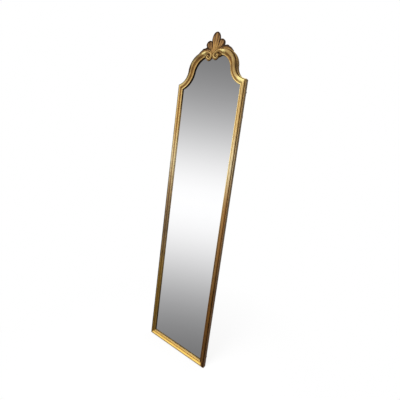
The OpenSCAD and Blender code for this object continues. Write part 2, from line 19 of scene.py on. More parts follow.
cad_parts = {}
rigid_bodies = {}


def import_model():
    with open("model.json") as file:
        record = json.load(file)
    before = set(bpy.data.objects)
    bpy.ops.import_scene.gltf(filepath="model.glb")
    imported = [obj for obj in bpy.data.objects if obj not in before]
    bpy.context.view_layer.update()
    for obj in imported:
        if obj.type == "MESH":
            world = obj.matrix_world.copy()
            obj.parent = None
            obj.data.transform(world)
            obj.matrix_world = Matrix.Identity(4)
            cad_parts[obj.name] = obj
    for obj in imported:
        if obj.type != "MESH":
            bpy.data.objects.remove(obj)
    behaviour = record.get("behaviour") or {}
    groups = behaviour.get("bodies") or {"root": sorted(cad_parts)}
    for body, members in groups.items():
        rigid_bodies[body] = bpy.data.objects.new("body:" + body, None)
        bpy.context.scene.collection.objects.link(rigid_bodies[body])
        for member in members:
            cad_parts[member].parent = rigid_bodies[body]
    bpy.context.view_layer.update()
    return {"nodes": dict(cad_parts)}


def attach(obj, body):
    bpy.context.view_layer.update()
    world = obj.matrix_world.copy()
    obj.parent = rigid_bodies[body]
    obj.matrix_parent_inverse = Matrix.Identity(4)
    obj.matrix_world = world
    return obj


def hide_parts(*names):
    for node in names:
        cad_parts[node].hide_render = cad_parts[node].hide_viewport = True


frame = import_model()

log = logging.getLogger("pier_mirror")

Point = tuple[float, float]
Triple = tuple[float, float, float]
Colour = tuple[float, float, float, float]
Curve = Callable[[float, bool], Point]
MID_Y_MM = 17.25
MIRROR = "mirror"


class Zone(Enum):
    """What covers a point of the woodwork, and where highlights and shade are painted on it; the value
    is the attribute that marks it.
    """

    HOLLOW = "hollow"
    # worn brown, and also painted shade on the rounds' outer sides
    WORN = "worn"
    # painted highlights
    SHINE = "shine"
    OCHRE = "ochre"
    BARE = "bare"
    BLACK = "black"


def srgb(red: float, green: float, blue: float) -> Colour:
    """Turns a colour as a picture gives it, 0 to 255, into light values with alpha.

    Args:
        red: Red, 0 to 255.
        green: Green, 0 to 255.
        blue: Blue, 0 to 255.

    Returns:
        The colour in linear light, with alpha 1.
    """
    def linear(value: float) -> float:
        """Turns one number into linear light."""
        share = value / 255
        return share / 12.92 if share <= 0.04045 else ((share + 0.055) / 1.055) ** 2.4
    return linear(red), linear(green), linear(blue), 1.0


def mix(start: float, end: float, share: float) -> float:
    """Returns the number that lies share of the way from start to end."""
    return start + (end - start) * share


def between(start: Point, end: Point, share: float) -> Point:
    """Returns the point that lies share of the way from start to end."""
    return mix(start[0], end[0], share), mix(start[1], end[1], share)


def polar(centre: Point, radius: float, angle: float) -> Point:
    """Returns the point at that radius and angle, in degrees, from a centre."""
    turn = math.radians(angle)
    return centre[0] + radius * math.cos(turn), centre[1] + radius * math.sin(turn)


def bearing(start: Point, end: Point) -> float:
    """Returns the angle in degrees of the way from start to end."""
    return math.degrees(math.atan2(end[1] - start[1], end[0] - start[0]))


def table(value: float, rows: Sequence[Point]) -> float:
    """Looks a value up in a table of pairs, straight between its rows.

    Args:
        value: What is looked up.
        rows: Pairs of key and result, with rising keys.

    Returns:
        The result, held at the first or last row outside the table.
    """
    if value <= rows[0][0]:
        return rows[0][1]
    for low, high in zip(rows, rows[1:]):
        if value <= high[0]:
            return mix(low[1], high[1], (value - low[0]) / (high[0] - low[0]))
    return rows[-1][1]


def evenly(count: int) -> list[float]:
    """Returns that many numbers evenly from 0 to 1."""
    return [i / (count - 1) for i in range(count)]


def smooth(value: float, low: float, high: float) -> float:
    """Returns 0 below low and 1 above high, with a soft rise between."""
    share = min(1.0, max(0.0, (value - low) / (high - low)))
    return share * share * (3 - 2 * share)


# ---- node trees ----


def sign(operation: str) -> Callable[["Reckoned", "Reckoned | float"], "Reckoned"]:
    """Makes the method behind one of Python's signs: it adds a Math node."""
    return lambda number, other: number.tree.maths(operation, number, other)


class Reckoned:
    """A number in a node tree that Python's own signs work on."""

    def __init__(self, tree: "Tree", socket: bpy.types.NodeSocket) -> None:
        """Keeps the tree and the socket that gives the number."""
        self.tree = tree
        self.socket = socket

    __add__ = __radd__ = sign("ADD")
    __mul__ = __rmul__ = sign("MULTIPLY")
    __sub__ = sign("SUBTRACT")
    __truediv__ = sign("DIVIDE")
    __pow__ = sign("POWER")

    def __rsub__(self, other: float) -> "Reckoned":
        """Takes this away from other."""
        return self.tree.maths("SUBTRACT", other, self)

    def __abs__(self) -> "Reckoned":
        """Drops the sign."""
        return self.tree.maths("ABSOLUTE", self)

    def clamped(self) -> "Reckoned":
        """Returns the number held between 0 and 1."""
        return self.tree.maths("ADD", self, 0.0, clamp=True)

    def rise(self, low: float, high: float) -> "Reckoned":
        """Returns 0 below low and 1 above high, with a straight rise between."""
        return self.tree.maths("DIVIDE", self - low, high - low, clamp=True)


Value = Reckoned | float


class Tree:
    """A node tree and the one method that adds its nodes."""

    def __init__(self, nodes: bpy.types.NodeTree) -> None:
        """Keeps the tree's own nodes and links."""
        self.nodes = nodes.nodes
        self.links = nodes.links

    def join(self, socket: bpy.types.NodeSocket, value: object) -> None:
        """Links a socket to a reckoned number or another socket, or sets its plain value.

        Args:
            socket: The input that gets it.
            value: The number, socket or plain value.
        """
        value = value.socket if isinstance(value, Reckoned) else value
        if isinstance(value, bpy.types.NodeSocket):
            self.links.new(value, socket)
        else:
            socket.default_value = value

    def node(self, kind: str, settings: dict | None = None,
             inputs: dict | None = None) -> bpy.types.Node:
        """Adds a node, sets it up and joins it.

        Args:
            kind: The node's type.
            settings: The node's own settings, such as its operation; stops sets a ramp's colours.
            inputs: Socket name or number to a value, a socket or a reckoned number.

        Returns:
            The new node.
        """
        made = self.nodes.new(kind)
        for name, value in (settings or {}).items():
            if name == "stops":
                self._set_stops(made.color_ramp, value)
            else:
                setattr(made, name, value)
        for name, value in (inputs or {}).items():
            self.join(made.inputs[name], value)
        return made

    @staticmethod
    def _set_stops(ramp: bpy.types.ColorRamp, stops: Sequence[tuple[float, Colour]]) -> None:
        """Puts a ramp's colours at their places."""
        for number, (place, colour) in enumerate(stops):
            element = ramp.elements[number] if number < 2 else ramp.elements.new(place)
            element.position = place
            element.color = colour

    def maths(self, operation: str, *values: Value, clamp: bool = False) -> Reckoned:
        """Adds a Math node on numbers and returns its result."""
        made = self.node("ShaderNodeMath", {"operation": operation, "use_clamp": clamp},
                         dict(enumerate(values)))
        return Reckoned(self, made.outputs[0])


class Paint(Tree):
    """A material's node tree with the few mixtures that the finishes share."""

    def __init__(self, name: str) -> None:
        """Makes an empty material of that name with one shader."""
        self.material = bpy.data.materials.new(name)
        self.material.use_nodes = True
        super().__init__(self.material.node_tree)
        self.nodes.clear()
        self.shader = self.node("ShaderNodeBsdfPrincipled")
        self.node("ShaderNodeOutputMaterial", None, {"Surface": self.shader.outputs[0]})
        self.place = self.node("ShaderNodeTexCoord").outputs["Object"]
        parts = self.node("ShaderNodeSeparateXYZ", None, {0: self.place})
        self.x, self.y, self.z = (Reckoned(self, socket) for socket in parts.outputs)

    def set(self, **values: object) -> None:
        """Sets or joins sockets of the shader; an underscore stands for a space."""
        for name, value in values.items():
            self.join(self.shader.inputs[name.replace("_", " ")], value)

    def stretched(self, scale: Triple) -> bpy.types.NodeSocket:
        """Returns the place on the piece, stretched along its axes."""
        return self.node("ShaderNodeMapping", None,
                         {"Vector": self.place, "Scale": scale}).outputs[0]

    def noise(self, scale: float, detail: float = 3.0, rough: float = 0.5,
              vector: bpy.types.NodeSocket | None = None) -> Reckoned:
        """Adds a cloudy pattern.

        Args:
            scale: Clouds per metre.
            detail: How many finer layers it has.
            rough: How strong the finer layers are.
            vector: Where it is read; the piece's own place if left out.

        Returns:
            The pattern, about 0.3 to 0.7 over most of the surface.
        """
        made = self.node("ShaderNodeTexNoise", None, {
            "Vector": vector or self.place, "Scale": scale, "Detail": detail, "Roughness": rough})
        return Reckoned(self, made.outputs["Fac"])

    def mark(self, name: str) -> Reckoned:
        """Returns a number that the mesh carries at each point."""
        made = self.node("ShaderNodeAttribute", {"attribute_name": name})
        return Reckoned(self, made.outputs["Fac"])

    def blend(self, under: object, over: object, share: Value) -> bpy.types.NodeSocket:
        """Lays one colour over another.

        Args:
            under: Colour or socket below.
            over: Colour or socket on top.
            share: How much of the upper one shows, 0 to 1.

        Returns:
            The socket of the mixed colour.
        """
        made = self.node("ShaderNodeMix", {"data_type": "RGBA", "clamp_factor": True},
                         {0: share, 6: under, 7: over})
        return made.outputs[2]

    def ramp(self, value: Reckoned, stops: Sequence[tuple[float, Colour]]) -> bpy.types.NodeSocket:
        """Returns the colour that a ramp gives for a number."""
        return self.node("ShaderNodeValToRGB", {"stops": stops}, {0: value}).outputs[0]

    def bump(self, height: Value, depth: float, strength: float = 0.6) -> None:
        """Roughens the surface.

        Args:
            height: Height pattern, 0 to 1.
            depth: Its full height in metres.
            strength: How much of it shows.
        """
        made = self.node("ShaderNodeBump", None,
                         {"Strength": strength, "Distance": depth, "Height": height})
        self.set(Normal=made.outputs[0])


# ---- finishes ----


@dataclass(frozen=True)
class Finish:
    """The look of a surface, made once as a material."""

    brush: ClassVar[type[Paint]] = Paint
    name: str

    def make(self) -> bpy.types.Material:
        """Builds the material."""
        paint = self.brush(self.name)
        self.lay(paint)
        return paint.material

    def lay(self, paint: Paint) -> None:
        """Lays the finish on the empty material."""
        raise NotImplementedError


@dataclass(frozen=True)
class Patch:
    """A round patch on the gilding, worn, stained or painted lighter as a highlight: its middle and
    radius in metres, and its strength.
    """

    x: float
    z: float
    radius: float
    share: float


class GiltPaint(Paint):
    """The patterns of the gilding, and the places on the frame that its coats tell apart."""

    rail_top = 0.033
    half_width = 0.225

    def __init__(self, name: str) -> None:
        """Makes the patterns and the places for a material of that name."""
        super().__init__(name)
        self.cloud = self.noise(9.0, 2.0)
        self.wear = self.noise(46.0, 5.0, 0.62)
        self.speck = self.noise(330.0, 3.0, 0.6)
        self.run, self.across = self.mark("run"), self.mark("across")
        # -1 on the left of the mirror, 1 on its right, with a soft change in the middle
        self.side = self.maths("MAXIMUM", self.maths("MINIMUM", self.x * 8.0, 1.0), -1.0)
        self.right = (self.side * 0.5 + 0.5).clamped()
        # long thin streaks follow each member, and lie differently on its left and right twin
        self.streak = self.noise(1.0, 3.0, 0.6, self.node("ShaderNodeCombineXYZ", None, {
            0: self.run * 11.0, 1: self.across * 9.0 + self.side * 4.3,
            2: self.side * 2.7}).outputs[0])
        self.hollow, self.worn, self.shine, self.ochre, self.bare, self.black = (
            self.mark(zone.value) for zone in Zone)
        self.ridge = (1.0 - self.hollow).clamped()
        self._find_places()

    def _find_places(self) -> None:
        """Finds the rail, the stiles' stretches and the bend of the arches, each 0 to 1."""
        far_x = abs(self.x)
        # the rail is mitred to the stiles, which are painted darker and browner than it towards their
        # feet, as painted shade
        self.rail = ((1.0 - self.z.rise(self.rail_top - 0.001, self.rail_top + 0.001))
                     * (self.half_width - far_x - self.z).rise(-0.001, 0.001))
        self.upright = 1.0 - self.rail
        self.low = (1.0 - self.z.rise(0.2, 1.25)) * self.upright
        self.foot = (1.0 - self.z.rise(0.05, 0.5)) * self.upright
        self.handled = 1.0 - self.z.rise(0.94, 1.22)
        self.middle = self.level(0.85, 0.44)
        self.mid_band = self.middle.rise(0.2, 0.75)
        # painted light: the right side's outer half, which the lamps leave in shade, is lightened
        self.painted_fill = self.mid_band * self.right * self.across.rise(0.42, 0.55)
        self.bend = (self.z.rise(1.645, 1.69) * (1.0 - self.z.rise(1.79, 1.82))
                     * far_x.rise(0.045, 0.075))

    def level(self, height: float, reach: float) -> Reckoned:
        """Returns 1 at a height and 0 from reach above and below it on."""
        return (1.0 - abs(self.z - height) / reach).clamped()

    def patches(self, patches: Sequence[Patch]) -> Value:
        """Adds up soft round patches on the face of the frame.

        Args:
            patches: The patches.

        Returns:
            How strongly they show, 0 where there is none.
        """
        total: Value = 0.0
        for patch in patches:
            away = (self.x - patch.x) ** 2.0 + (self.z - patch.z) ** 2.0
            total = (1.0 - (away / (patch.radius ** 2)).clamped()) * (patch.share * 1.3) + total
        return total


@dataclass(frozen=True)
class GoldLeaf(Finish):
    """Water gilding on red-brown clay, worn brown where it is handled, glazed dark in the hollows, with
    painted highlights and painted shade.
    """

    brush: ClassVar[type[Paint]] = GiltPaint
    name: str = "gold_leaf"
    # pale and butter colour the painted highlights
    pale: Colour = srgb(255, 236, 158)
    butter: Colour = srgb(255, 216, 108)
    bright: Colour = srgb(238, 206, 134)
    plain: Colour = srgb(202, 165, 102)
    amber: Colour = srgb(162, 116, 54)
    # olive and umber darken and brown the sides' feet as painted shade; olive also colours the rail's
    # wear
    olive: Colour = srgb(124, 94, 22)
    umber: Colour = srgb(128, 80, 8)
    # veil, tan and haze tint the middle of the sides; tan is also painted light on the right side's
    # outer half
    veil: Colour = srgb(110, 98, 92)
    tan: Colour = srgb(142, 96, 44)
    haze: Colour = srgb(228, 222, 188)
    clay: Colour = srgb(146, 88, 58)
    brown: Colour = srgb(112, 80, 48)
    glaze: Colour = srgb(46, 29, 12)
    ochre: Colour = srgb(136, 106, 54)
    # low_side darkens the sides' feet as painted shade
    low_side: Colour = srgb(78, 48, 12)
    bare: Colour = srgb(126, 92, 58)
    lip: Colour = srgb(14, 12, 10)
    red: float = 0.4
    metallic: float = 0.16
    leaf_step: float = 0.078
    brown_patches: tuple[Patch, ...] = (
        Patch(-0.104, 1.803, 0.030, 0.95), Patch(-0.140, 1.737, 0.020, 0.8),
        Patch(0.131, 1.722, 0.022, 0.55))
    red_patches: tuple[Patch, ...] = (Patch(0.115, 1.766, 0.013, 0.7),)
    highlight_patches: tuple[Patch, ...] = (
        Patch(0.197, 1.657, 0.029, 0.9), Patch(-0.055, 1.808, 0.014, 0.7),
        Patch(0.0685, 1.801, 0.014, 0.6))

    def lay(self, paint: GiltPaint) -> None:
        """Lays the coats one over the other."""
        rubbed_and_shaded = self.rubbing_and_shade(paint)
        dirt_and_shade = self.dirt_and_shade(paint)
        colour = self.tint(paint, self.leaf(paint, rubbed_and_shaded))
        # the sheets of leaf overlap every few centimetres along a member
        phase = paint.maths("FRACT", paint.run / self.leaf_step + paint.cloud * 0.35)
        seam = (1.0 - phase.rise(0.0, 0.03)) + phase.rise(0.975, 1.0)
        colour = paint.blend(colour, self.amber, seam.clamped() * 0.25 * paint.ridge)
        # dark glaze in the hollows and dirt, with painted shade
        colour = paint.blend(colour, self.glaze, dirt_and_shade * 0.94)
        # painted highlights: yellower on the rail, paler above it
        highlight_share = (paint.shine + paint.patches(self.highlight_patches) * paint.ridge).clamped()
        highlight_colour = paint.blend(self.butter, self.pale, paint.z.rise(0.04, 0.08))
        colour = paint.blend(colour, highlight_colour, highlight_share * (0.6 + paint.streak.rise(0.4, 0.6) * 0.4))
        timber = paint.blend(self.bare, self.glaze, paint.streak.rise(0.35, 0.7) * 0.5)
        for coat, zone in ((self.sides(paint), paint.ochre), (timber, paint.bare),
                           (self.lip, paint.black)):
            colour = paint.blend(colour, coat, zone)
        clean = ((1.0 - dirt_and_shade) * (1.0 - rubbed_and_shaded * 0.7) * (1.0 - paint.ochre) * (1.0 - paint.bare)
                 * (1.0 - paint.black)).clamped()
        paint.set(Base_Color=colour, Specular_IOR_Level=0.2,
                  Metallic=(clean * self.metallic + paint.low.rise(0.2, 0.8) * 0.5).clamped(),
                  Roughness=(0.36 + dirt_and_shade * 0.34 + paint.speck * 0.12).clamped())
        paint.bump(paint.speck * 0.5 + paint.wear * 0.5, 0.0006, 0.55)

    def rubbing_and_shade(self, paint: GiltPaint) -> Reckoned:
        """Returns where hands and cloths have rubbed the leaf brown, with painted shade on the rounds'
        outer sides, 0 to 1.
        """
        rubbed_and_shaded = (paint.worn * (1.0 - paint.rail * 0.7) * (0.36 + paint.handled * 0.64)
                  * (0.3 + paint.streak.rise(0.40, 0.60) * 0.8))
        return (rubbed_and_shaded + paint.patches(self.brown_patches) * paint.streak.rise(0.32, 0.6)).clamped()

    def leaf(self, paint: GiltPaint, rubbed_and_shaded: Reckoned) -> bpy.types.NodeSocket:
        """Lays the leaf, with the clay and the wood that show through it.

        Args:
            paint: The material's patterns and places.
            rubbed_and_shaded: Where the leaf is rubbed brown, with painted shade on the rounds' outer
                sides.

        Returns:
            The colour.
        """
        tone = (paint.cloud.rise(0.36, 0.64) * 0.3 + paint.wear.rise(0.34, 0.66) * 0.2
                + paint.streak.rise(0.34, 0.66) * 0.5)
        colour = paint.blend(self.plain, self.bright, tone * paint.ridge.rise(0.35, 1.0))
        # amber in the hollows, and over everything from about 1.7 m up
        deep = (paint.hollow.rise(0.10, 0.42) + paint.z.rise(1.66, 1.76) * 0.45).clamped()
        colour = paint.blend(colour, self.amber, deep * 0.9)
        colour = paint.blend(colour, self.brown, rubbed_and_shaded * 0.9)
        colour = paint.blend(colour, self.olive, paint.worn * paint.rail * 0.7)
        red = (paint.wear.rise(0.56, 0.68) * paint.speck.rise(0.36, 0.6) * paint.ridge * self.red
               + paint.patches(self.red_patches))
        return paint.blend(colour, self.clay, red.clamped())

    def tint(self, paint: GiltPaint, colour: bpy.types.NodeSocket) -> bpy.types.NodeSocket:
        """Pales the ridges about 1.2 m up, greys the middle of the left side and tans that of the
        right, and darkens and browns the feet as painted shade.

        Args:
            paint: The material's patterns and places.
            colour: The colour below.

        Returns:
            The colour with these tints and the painted shade on it.
        """
        colour = paint.blend(colour, self.haze, paint.level(1.2, 0.22) * paint.ridge * 0.52)
        # painted shade: the feet of the sides are darker and browner
        foot_shade = paint.blend(self.olive, self.umber, paint.right)
        colour = paint.blend(colour, foot_shade, paint.low.rise(0.3, 0.8)
                             * (0.8 + paint.right * 0.15) * (1.0 - paint.shine))
        tint = paint.blend(self.veil, self.tan, paint.right)
        # the tan over the right side's outer half is painted light where the lamps leave shade
        return paint.blend(colour, tint, paint.mid_band * 0.5 + paint.painted_fill * 0.3)

    @staticmethod
    def dirt_and_shade(paint: GiltPaint) -> Reckoned:
        """Finds how much dark glaze lies on the leaf: glaze and dirt, with painted shade.

        Args:
            paint: The material's patterns and places.

        Returns:
            Its share, 0 to 1.
        """
        side, middle = paint.side, paint.middle
        # painted shade: the left side's outer half is darker, and so are the middle and the feet of the
        # sides; the arches' bend is darker too
        outer = (paint.across.rise(0.46, 0.64) * (0.32 - side * 0.32) * paint.upright
                 + paint.across.rise(0.86, 0.91) * (0.06 - side * 0.14) * paint.upright
                 + paint.across.rise(0.42, 0.8) * paint.bend * (side * 0.02 + 0.32)
                 + paint.bend * 0.22 + middle * (0.2 - side * 0.1)
                 + paint.foot * (0.13 + side * 0.13))
        # painted shade: the right side is darker from about 0.35 to 1 m up, and across its middle
        dusk = paint.right * paint.z.rise(0.35, 0.6) * (1.0 - paint.z.rise(0.75, 1.0))
        # glaze in the hollows, dirt, streaks and wear, with painted shade towards the feet
        dirt_and_shade = (paint.hollow.rise(0.45, 0.95) * (1.0 - paint.right * 0.25 - paint.painted_fill * 0.25)
                + paint.low * 0.34 * (1.0 - paint.shine) + paint.speck.rise(0.57, 0.75) * 0.14
                + paint.streak.rise(0.50, 0.70) * 0.30 * (1.0 - paint.shine * 0.7)
                + paint.wear.rise(0.5, 0.72) * 0.2)
        return ((dirt_and_shade * (1.0 - paint.rail * 0.7) + outer
                 + (paint.mid_band * paint.right - paint.painted_fill) * 0.1 + dusk * 0.24).clamped()
                * (1.0 - paint.painted_fill * 0.6))

    def sides(self, paint: GiltPaint) -> bpy.types.NodeSocket:
        """Returns the colour of the painted sides, darker towards the bottom as painted shade."""
        colour = paint.blend(self.ochre, self.glaze, paint.speck.rise(0.45, 0.75) * 0.12
                             + paint.streak.rise(0.4, 0.7) * 0.3 + paint.low * 0.3
                             + paint.hollow * 0.6)
        return paint.blend(colour, self.low_side, paint.low.rise(0.1, 0.7) * 0.85)


@dataclass(frozen=True)
class SilveredGlass(Finish):
    """Clear glass with silver behind; its greys are a painted reflection of a room, palest at mid
    height.
    """

    name: str = "silvered_glass"
    top: float = 1.8
    palest_z: float = 0.97
    dim: float = 98.0
    fall_up: float = 0.615
    fall_down: float = 0.69
    slant: float = 0.382
    slant_drop: float = 0.441
    steps: int = 24
    cloudy: Colour = srgb(200, 200, 196)

    def grey(self, z: float) -> float:
        """Returns the painted reflection's grey, 0 to 255, at a height: a bell that is palest at mid
        height.
        """
        fall = self.fall_up if z > self.palest_z else self.fall_down
        return mix(self.dim, 255.0, math.exp(-((z - self.palest_z) / fall) ** 2))

    def lay(self, paint: Paint) -> None:
        """Paints the reflection's greys on the silver."""
        # the painted bands of grey stand for bands that lie level in the room, so they cross the
        # leaning glass at a slight slant
        height = (paint.z + paint.x * (paint.z * self.slant - self.slant_drop)) / self.top
        shares = [i / self.steps for i in range(self.steps + 1)]
        greys = [self.grey(share * self.top) for share in shares]
        stops = [(share, srgb(grey, grey, grey + 1)) for share, grey in zip(shares, greys)]
        cloud = paint.noise(14.0, 3.0)
        colour = paint.blend(paint.ramp(height, stops), self.cloudy, cloud.rise(0.6, 0.9) * 0.03)
        paint.set(Base_Color=colour, Metallic=1.0, Roughness=0.012)


@dataclass(frozen=True)
class Timber(Finish):
    """Bare wood with grain along one axis."""

    pale: Colour = srgb(176, 136, 90)
    deep: Colour = srgb(112, 76, 44)
    scale: Triple = (170.0, 170.0, 7.0)
    pore: Colour = srgb(58, 38, 22)
    stained: Colour = srgb(70, 52, 36)
    roughness: float = 0.72

    def lay(self, paint: Paint) -> None:
        """Lays grain, pores and stains."""
        grain, broad, pores = (
            paint.noise(1.0, detail, rough, paint.stretched(tuple(s * finer for s in self.scale)))
            for detail, rough, finer in ((5.0, 0.62, 1), (2.0, 0.5, 1 / 7), (2.0, 0.7, 4)))
        figure = grain.rise(0.32, 0.66) * 0.6 + broad.rise(0.35, 0.65) * 0.4
        colour = paint.blend(self.pale, self.deep, figure)
        colour = paint.blend(colour, self.pore, pores.rise(0.58, 0.7) * 0.5)
        stain = paint.noise(5.0, 3.0, 0.6)
        colour = paint.blend(colour, self.stained, stain.rise(0.55, 0.72) * 0.35)
        paint.set(Base_Color=colour, Roughness=(self.roughness + grain * 0.1).clamped())
        paint.bump(grain * 0.7 + pores * 0.3, 0.0004, 0.5)


@dataclass(frozen=True)
class AgedBrass(Finish):
    """Brass that has gone dull, brown where hands don't reach."""

    bright: Colour = srgb(206, 170, 100)
    brown: Colour = srgb(104, 76, 42)
    roughness: float = 0.34

    def lay(self, paint: Paint) -> None:
        """Lays the brass and its tarnish."""
        tarnish = paint.noise(160.0, 4.0, 0.6)
        fine = paint.noise(900.0, 2.0, 0.6)
        dull = (tarnish.rise(0.42, 0.62) * 0.65 + fine.rise(0.5, 0.7) * 0.25).clamped()
        paint.set(Base_Color=paint.blend(self.bright, self.brown, dull), Metallic=0.9,
                  Roughness=(self.roughness + dull * 0.25).clamped())
        paint.bump(fine, 0.0001, 0.3)


@dataclass(frozen=True)
class Soft(Finish):
    """Felt or rubber: dull, nearly even, with a fine surface."""

    colour: Colour = srgb(44, 42, 40)
    fleck: Colour = srgb(78, 74, 70)
    scale: float = 700.0
    roughness: float = 0.85

    def lay(self, paint: Paint) -> None:
        """Lays the colour and its flecks."""
        fibre = paint.noise(self.scale, 3.0, 0.7)
        cloud = paint.noise(self.scale / 20, 2.0)
        share = fibre.rise(0.45, 0.7) * 0.5 + cloud.rise(0.4, 0.7) * 0.2
        paint.set(Base_Color=paint.blend(self.colour, self.fleck, share),
                  Roughness=(self.roughness + fibre * 0.1).clamped())
        paint.bump(fibre, 0.0003, 0.5)


# ---- the mirror's own plan, in millimetres ----


@dataclass(frozen=True)
class Plan:
    """Sizes of the frame and the curves of its arched top, x and height above the shoulder."""

    half_w: float = 225.0
    shoulder_h: float = 1657.0
    mould_w: float = 31.5
    arch_c: Point = (64.0, 68.0)
    arch_r: float = 97.0
    cove_r: float = 77.0
    sight_c: Point = (30.0, 48.5)
    sight_r: float = 90.5
    sight_cove_r: float = 115.0
    shoulder_drop: float = 26.5
    crown_x: float = 56.0
    apron_drop: float = 7.0
    seat_z: float = 152.0
    swell: float = 1.5
    glass_y: float = 18.4
    shelf_y: float = 24.4
    depth: float = 31.0
    rebate_w: float = 9.5
    board_u: float = 17.0
    apron_curve: tuple[Point, ...] = (
        (0, 1.0), (0.2, 1.0), (0.4, 1.0), (0.5, 0.985), (0.6, 0.86), (0.7, 0.66), (0.8, 0.43),
        (0.9, 0.2), (1.0, 0.0))

    @property
    def in_x(self) -> float:
        """Half the width of the opening."""
        return self.half_w - self.mould_w

    @staticmethod
    def meet(start: Point, start_r: float, end: Point, end_r: float) -> Point:
        """Finds where two circles cross, on the right of the way from one centre to the other.

        Args:
            start: The first circle's centre.
            start_r: Its radius.
            end: The second circle's centre.
            end_r: Its radius.

        Returns:
            The point where they cross.
        """
        dx, dz = end[0] - start[0], end[1] - start[1]
        far = math.hypot(dx, dz)
        along = (start_r ** 2 - end_r ** 2 + far ** 2) / (2 * far)
        off = math.sqrt(start_r ** 2 - along ** 2)
        return (start[0] + (along * dx + off * dz) / far, start[1] + (along * dz - off * dx) / far)

    @staticmethod
    def outwards(curve: Curve, share: float, u: float) -> Point:
        """Returns the point that lies u outwards of a curve's sight line, along its section."""
        inner, outer = curve(share, False), curve(share, True)
        return between(inner, outer, u / math.dist(inner, outer))

    def _circles(self, outer: bool) -> tuple[Point, Point, float, Point, float]:
        """Finds the circles of the top's outer or inner line.

        Args:
            outer: Whether it is the outer line.

        Returns:
            The corner, the cove's centre and radius, and the arch's centre and radius.
        """
        corner, radius = (self.half_w, 0.0), self.cove_r
        arch, arch_r = self.arch_c, self.arch_r
        if not outer:
            corner, radius = (self.in_x, -self.shoulder_drop), self.sight_cove_r
            arch, arch_r = self.sight_c, self.sight_r
        return corner, self.meet(corner, radius, arch, arch_r + radius), radius, arch, arch_r

    def cove(self, share: float, outer: bool) -> Point:
        """Draws the cove, from the corner to the waist.

        Args:
            share: Place along it, 0 to 1.
            outer: Whether it is the outer line.

        Returns:
            The point.
        """
        corner, centre, radius, arch, _ = self._circles(outer)
        waist = bearing(centre, arch)
        # the angle falls from the corner to the waist
        waist -= 360 if waist > 0 else 0
        return polar(centre, radius, mix(bearing(centre, corner), waist, share))

    def arch(self, share: float, outer: bool) -> Point:
        """Draws the arch, from the waist to the crown.

        Args:
            share: Place along it, 0 to 1.
            outer: Whether it is the outer line.

        Returns:
            The point.
        """
        _, cove_c, _, centre, arch_r = self._circles(outer)
        end = math.degrees(math.acos((self.crown_x - centre[0]) / arch_r))
        return polar(centre, arch_r, mix(bearing(centre, cove_c), end, share))

    def apron(self, x: float) -> float:
        """Shapes the lower edge of the crown block.

        Args:
            x: Distance from the middle.

        Returns:
            The edge's height above the shoulder.
        """
        inner = self.arch(1.0, False)[1]
        share = abs(x) / self.crown_x
        return inner - self.apron_drop * table(share, self.apron_curve)


PLAN = Plan()


def row(x: float, y: float, z: float) -> Vector:
    """Turns millimetres inside the moulding into metres in the mirror's own place."""
    return Vector((x, y - MID_Y_MM, z)) / 1000


@dataclass
class SectionPoint:
    """One corner of a moulding's section."""

    u: float
    y: float
    stretches: bool = True
    lift: float = 0.0
    marks: dict[Zone, float] = field(default_factory=dict)


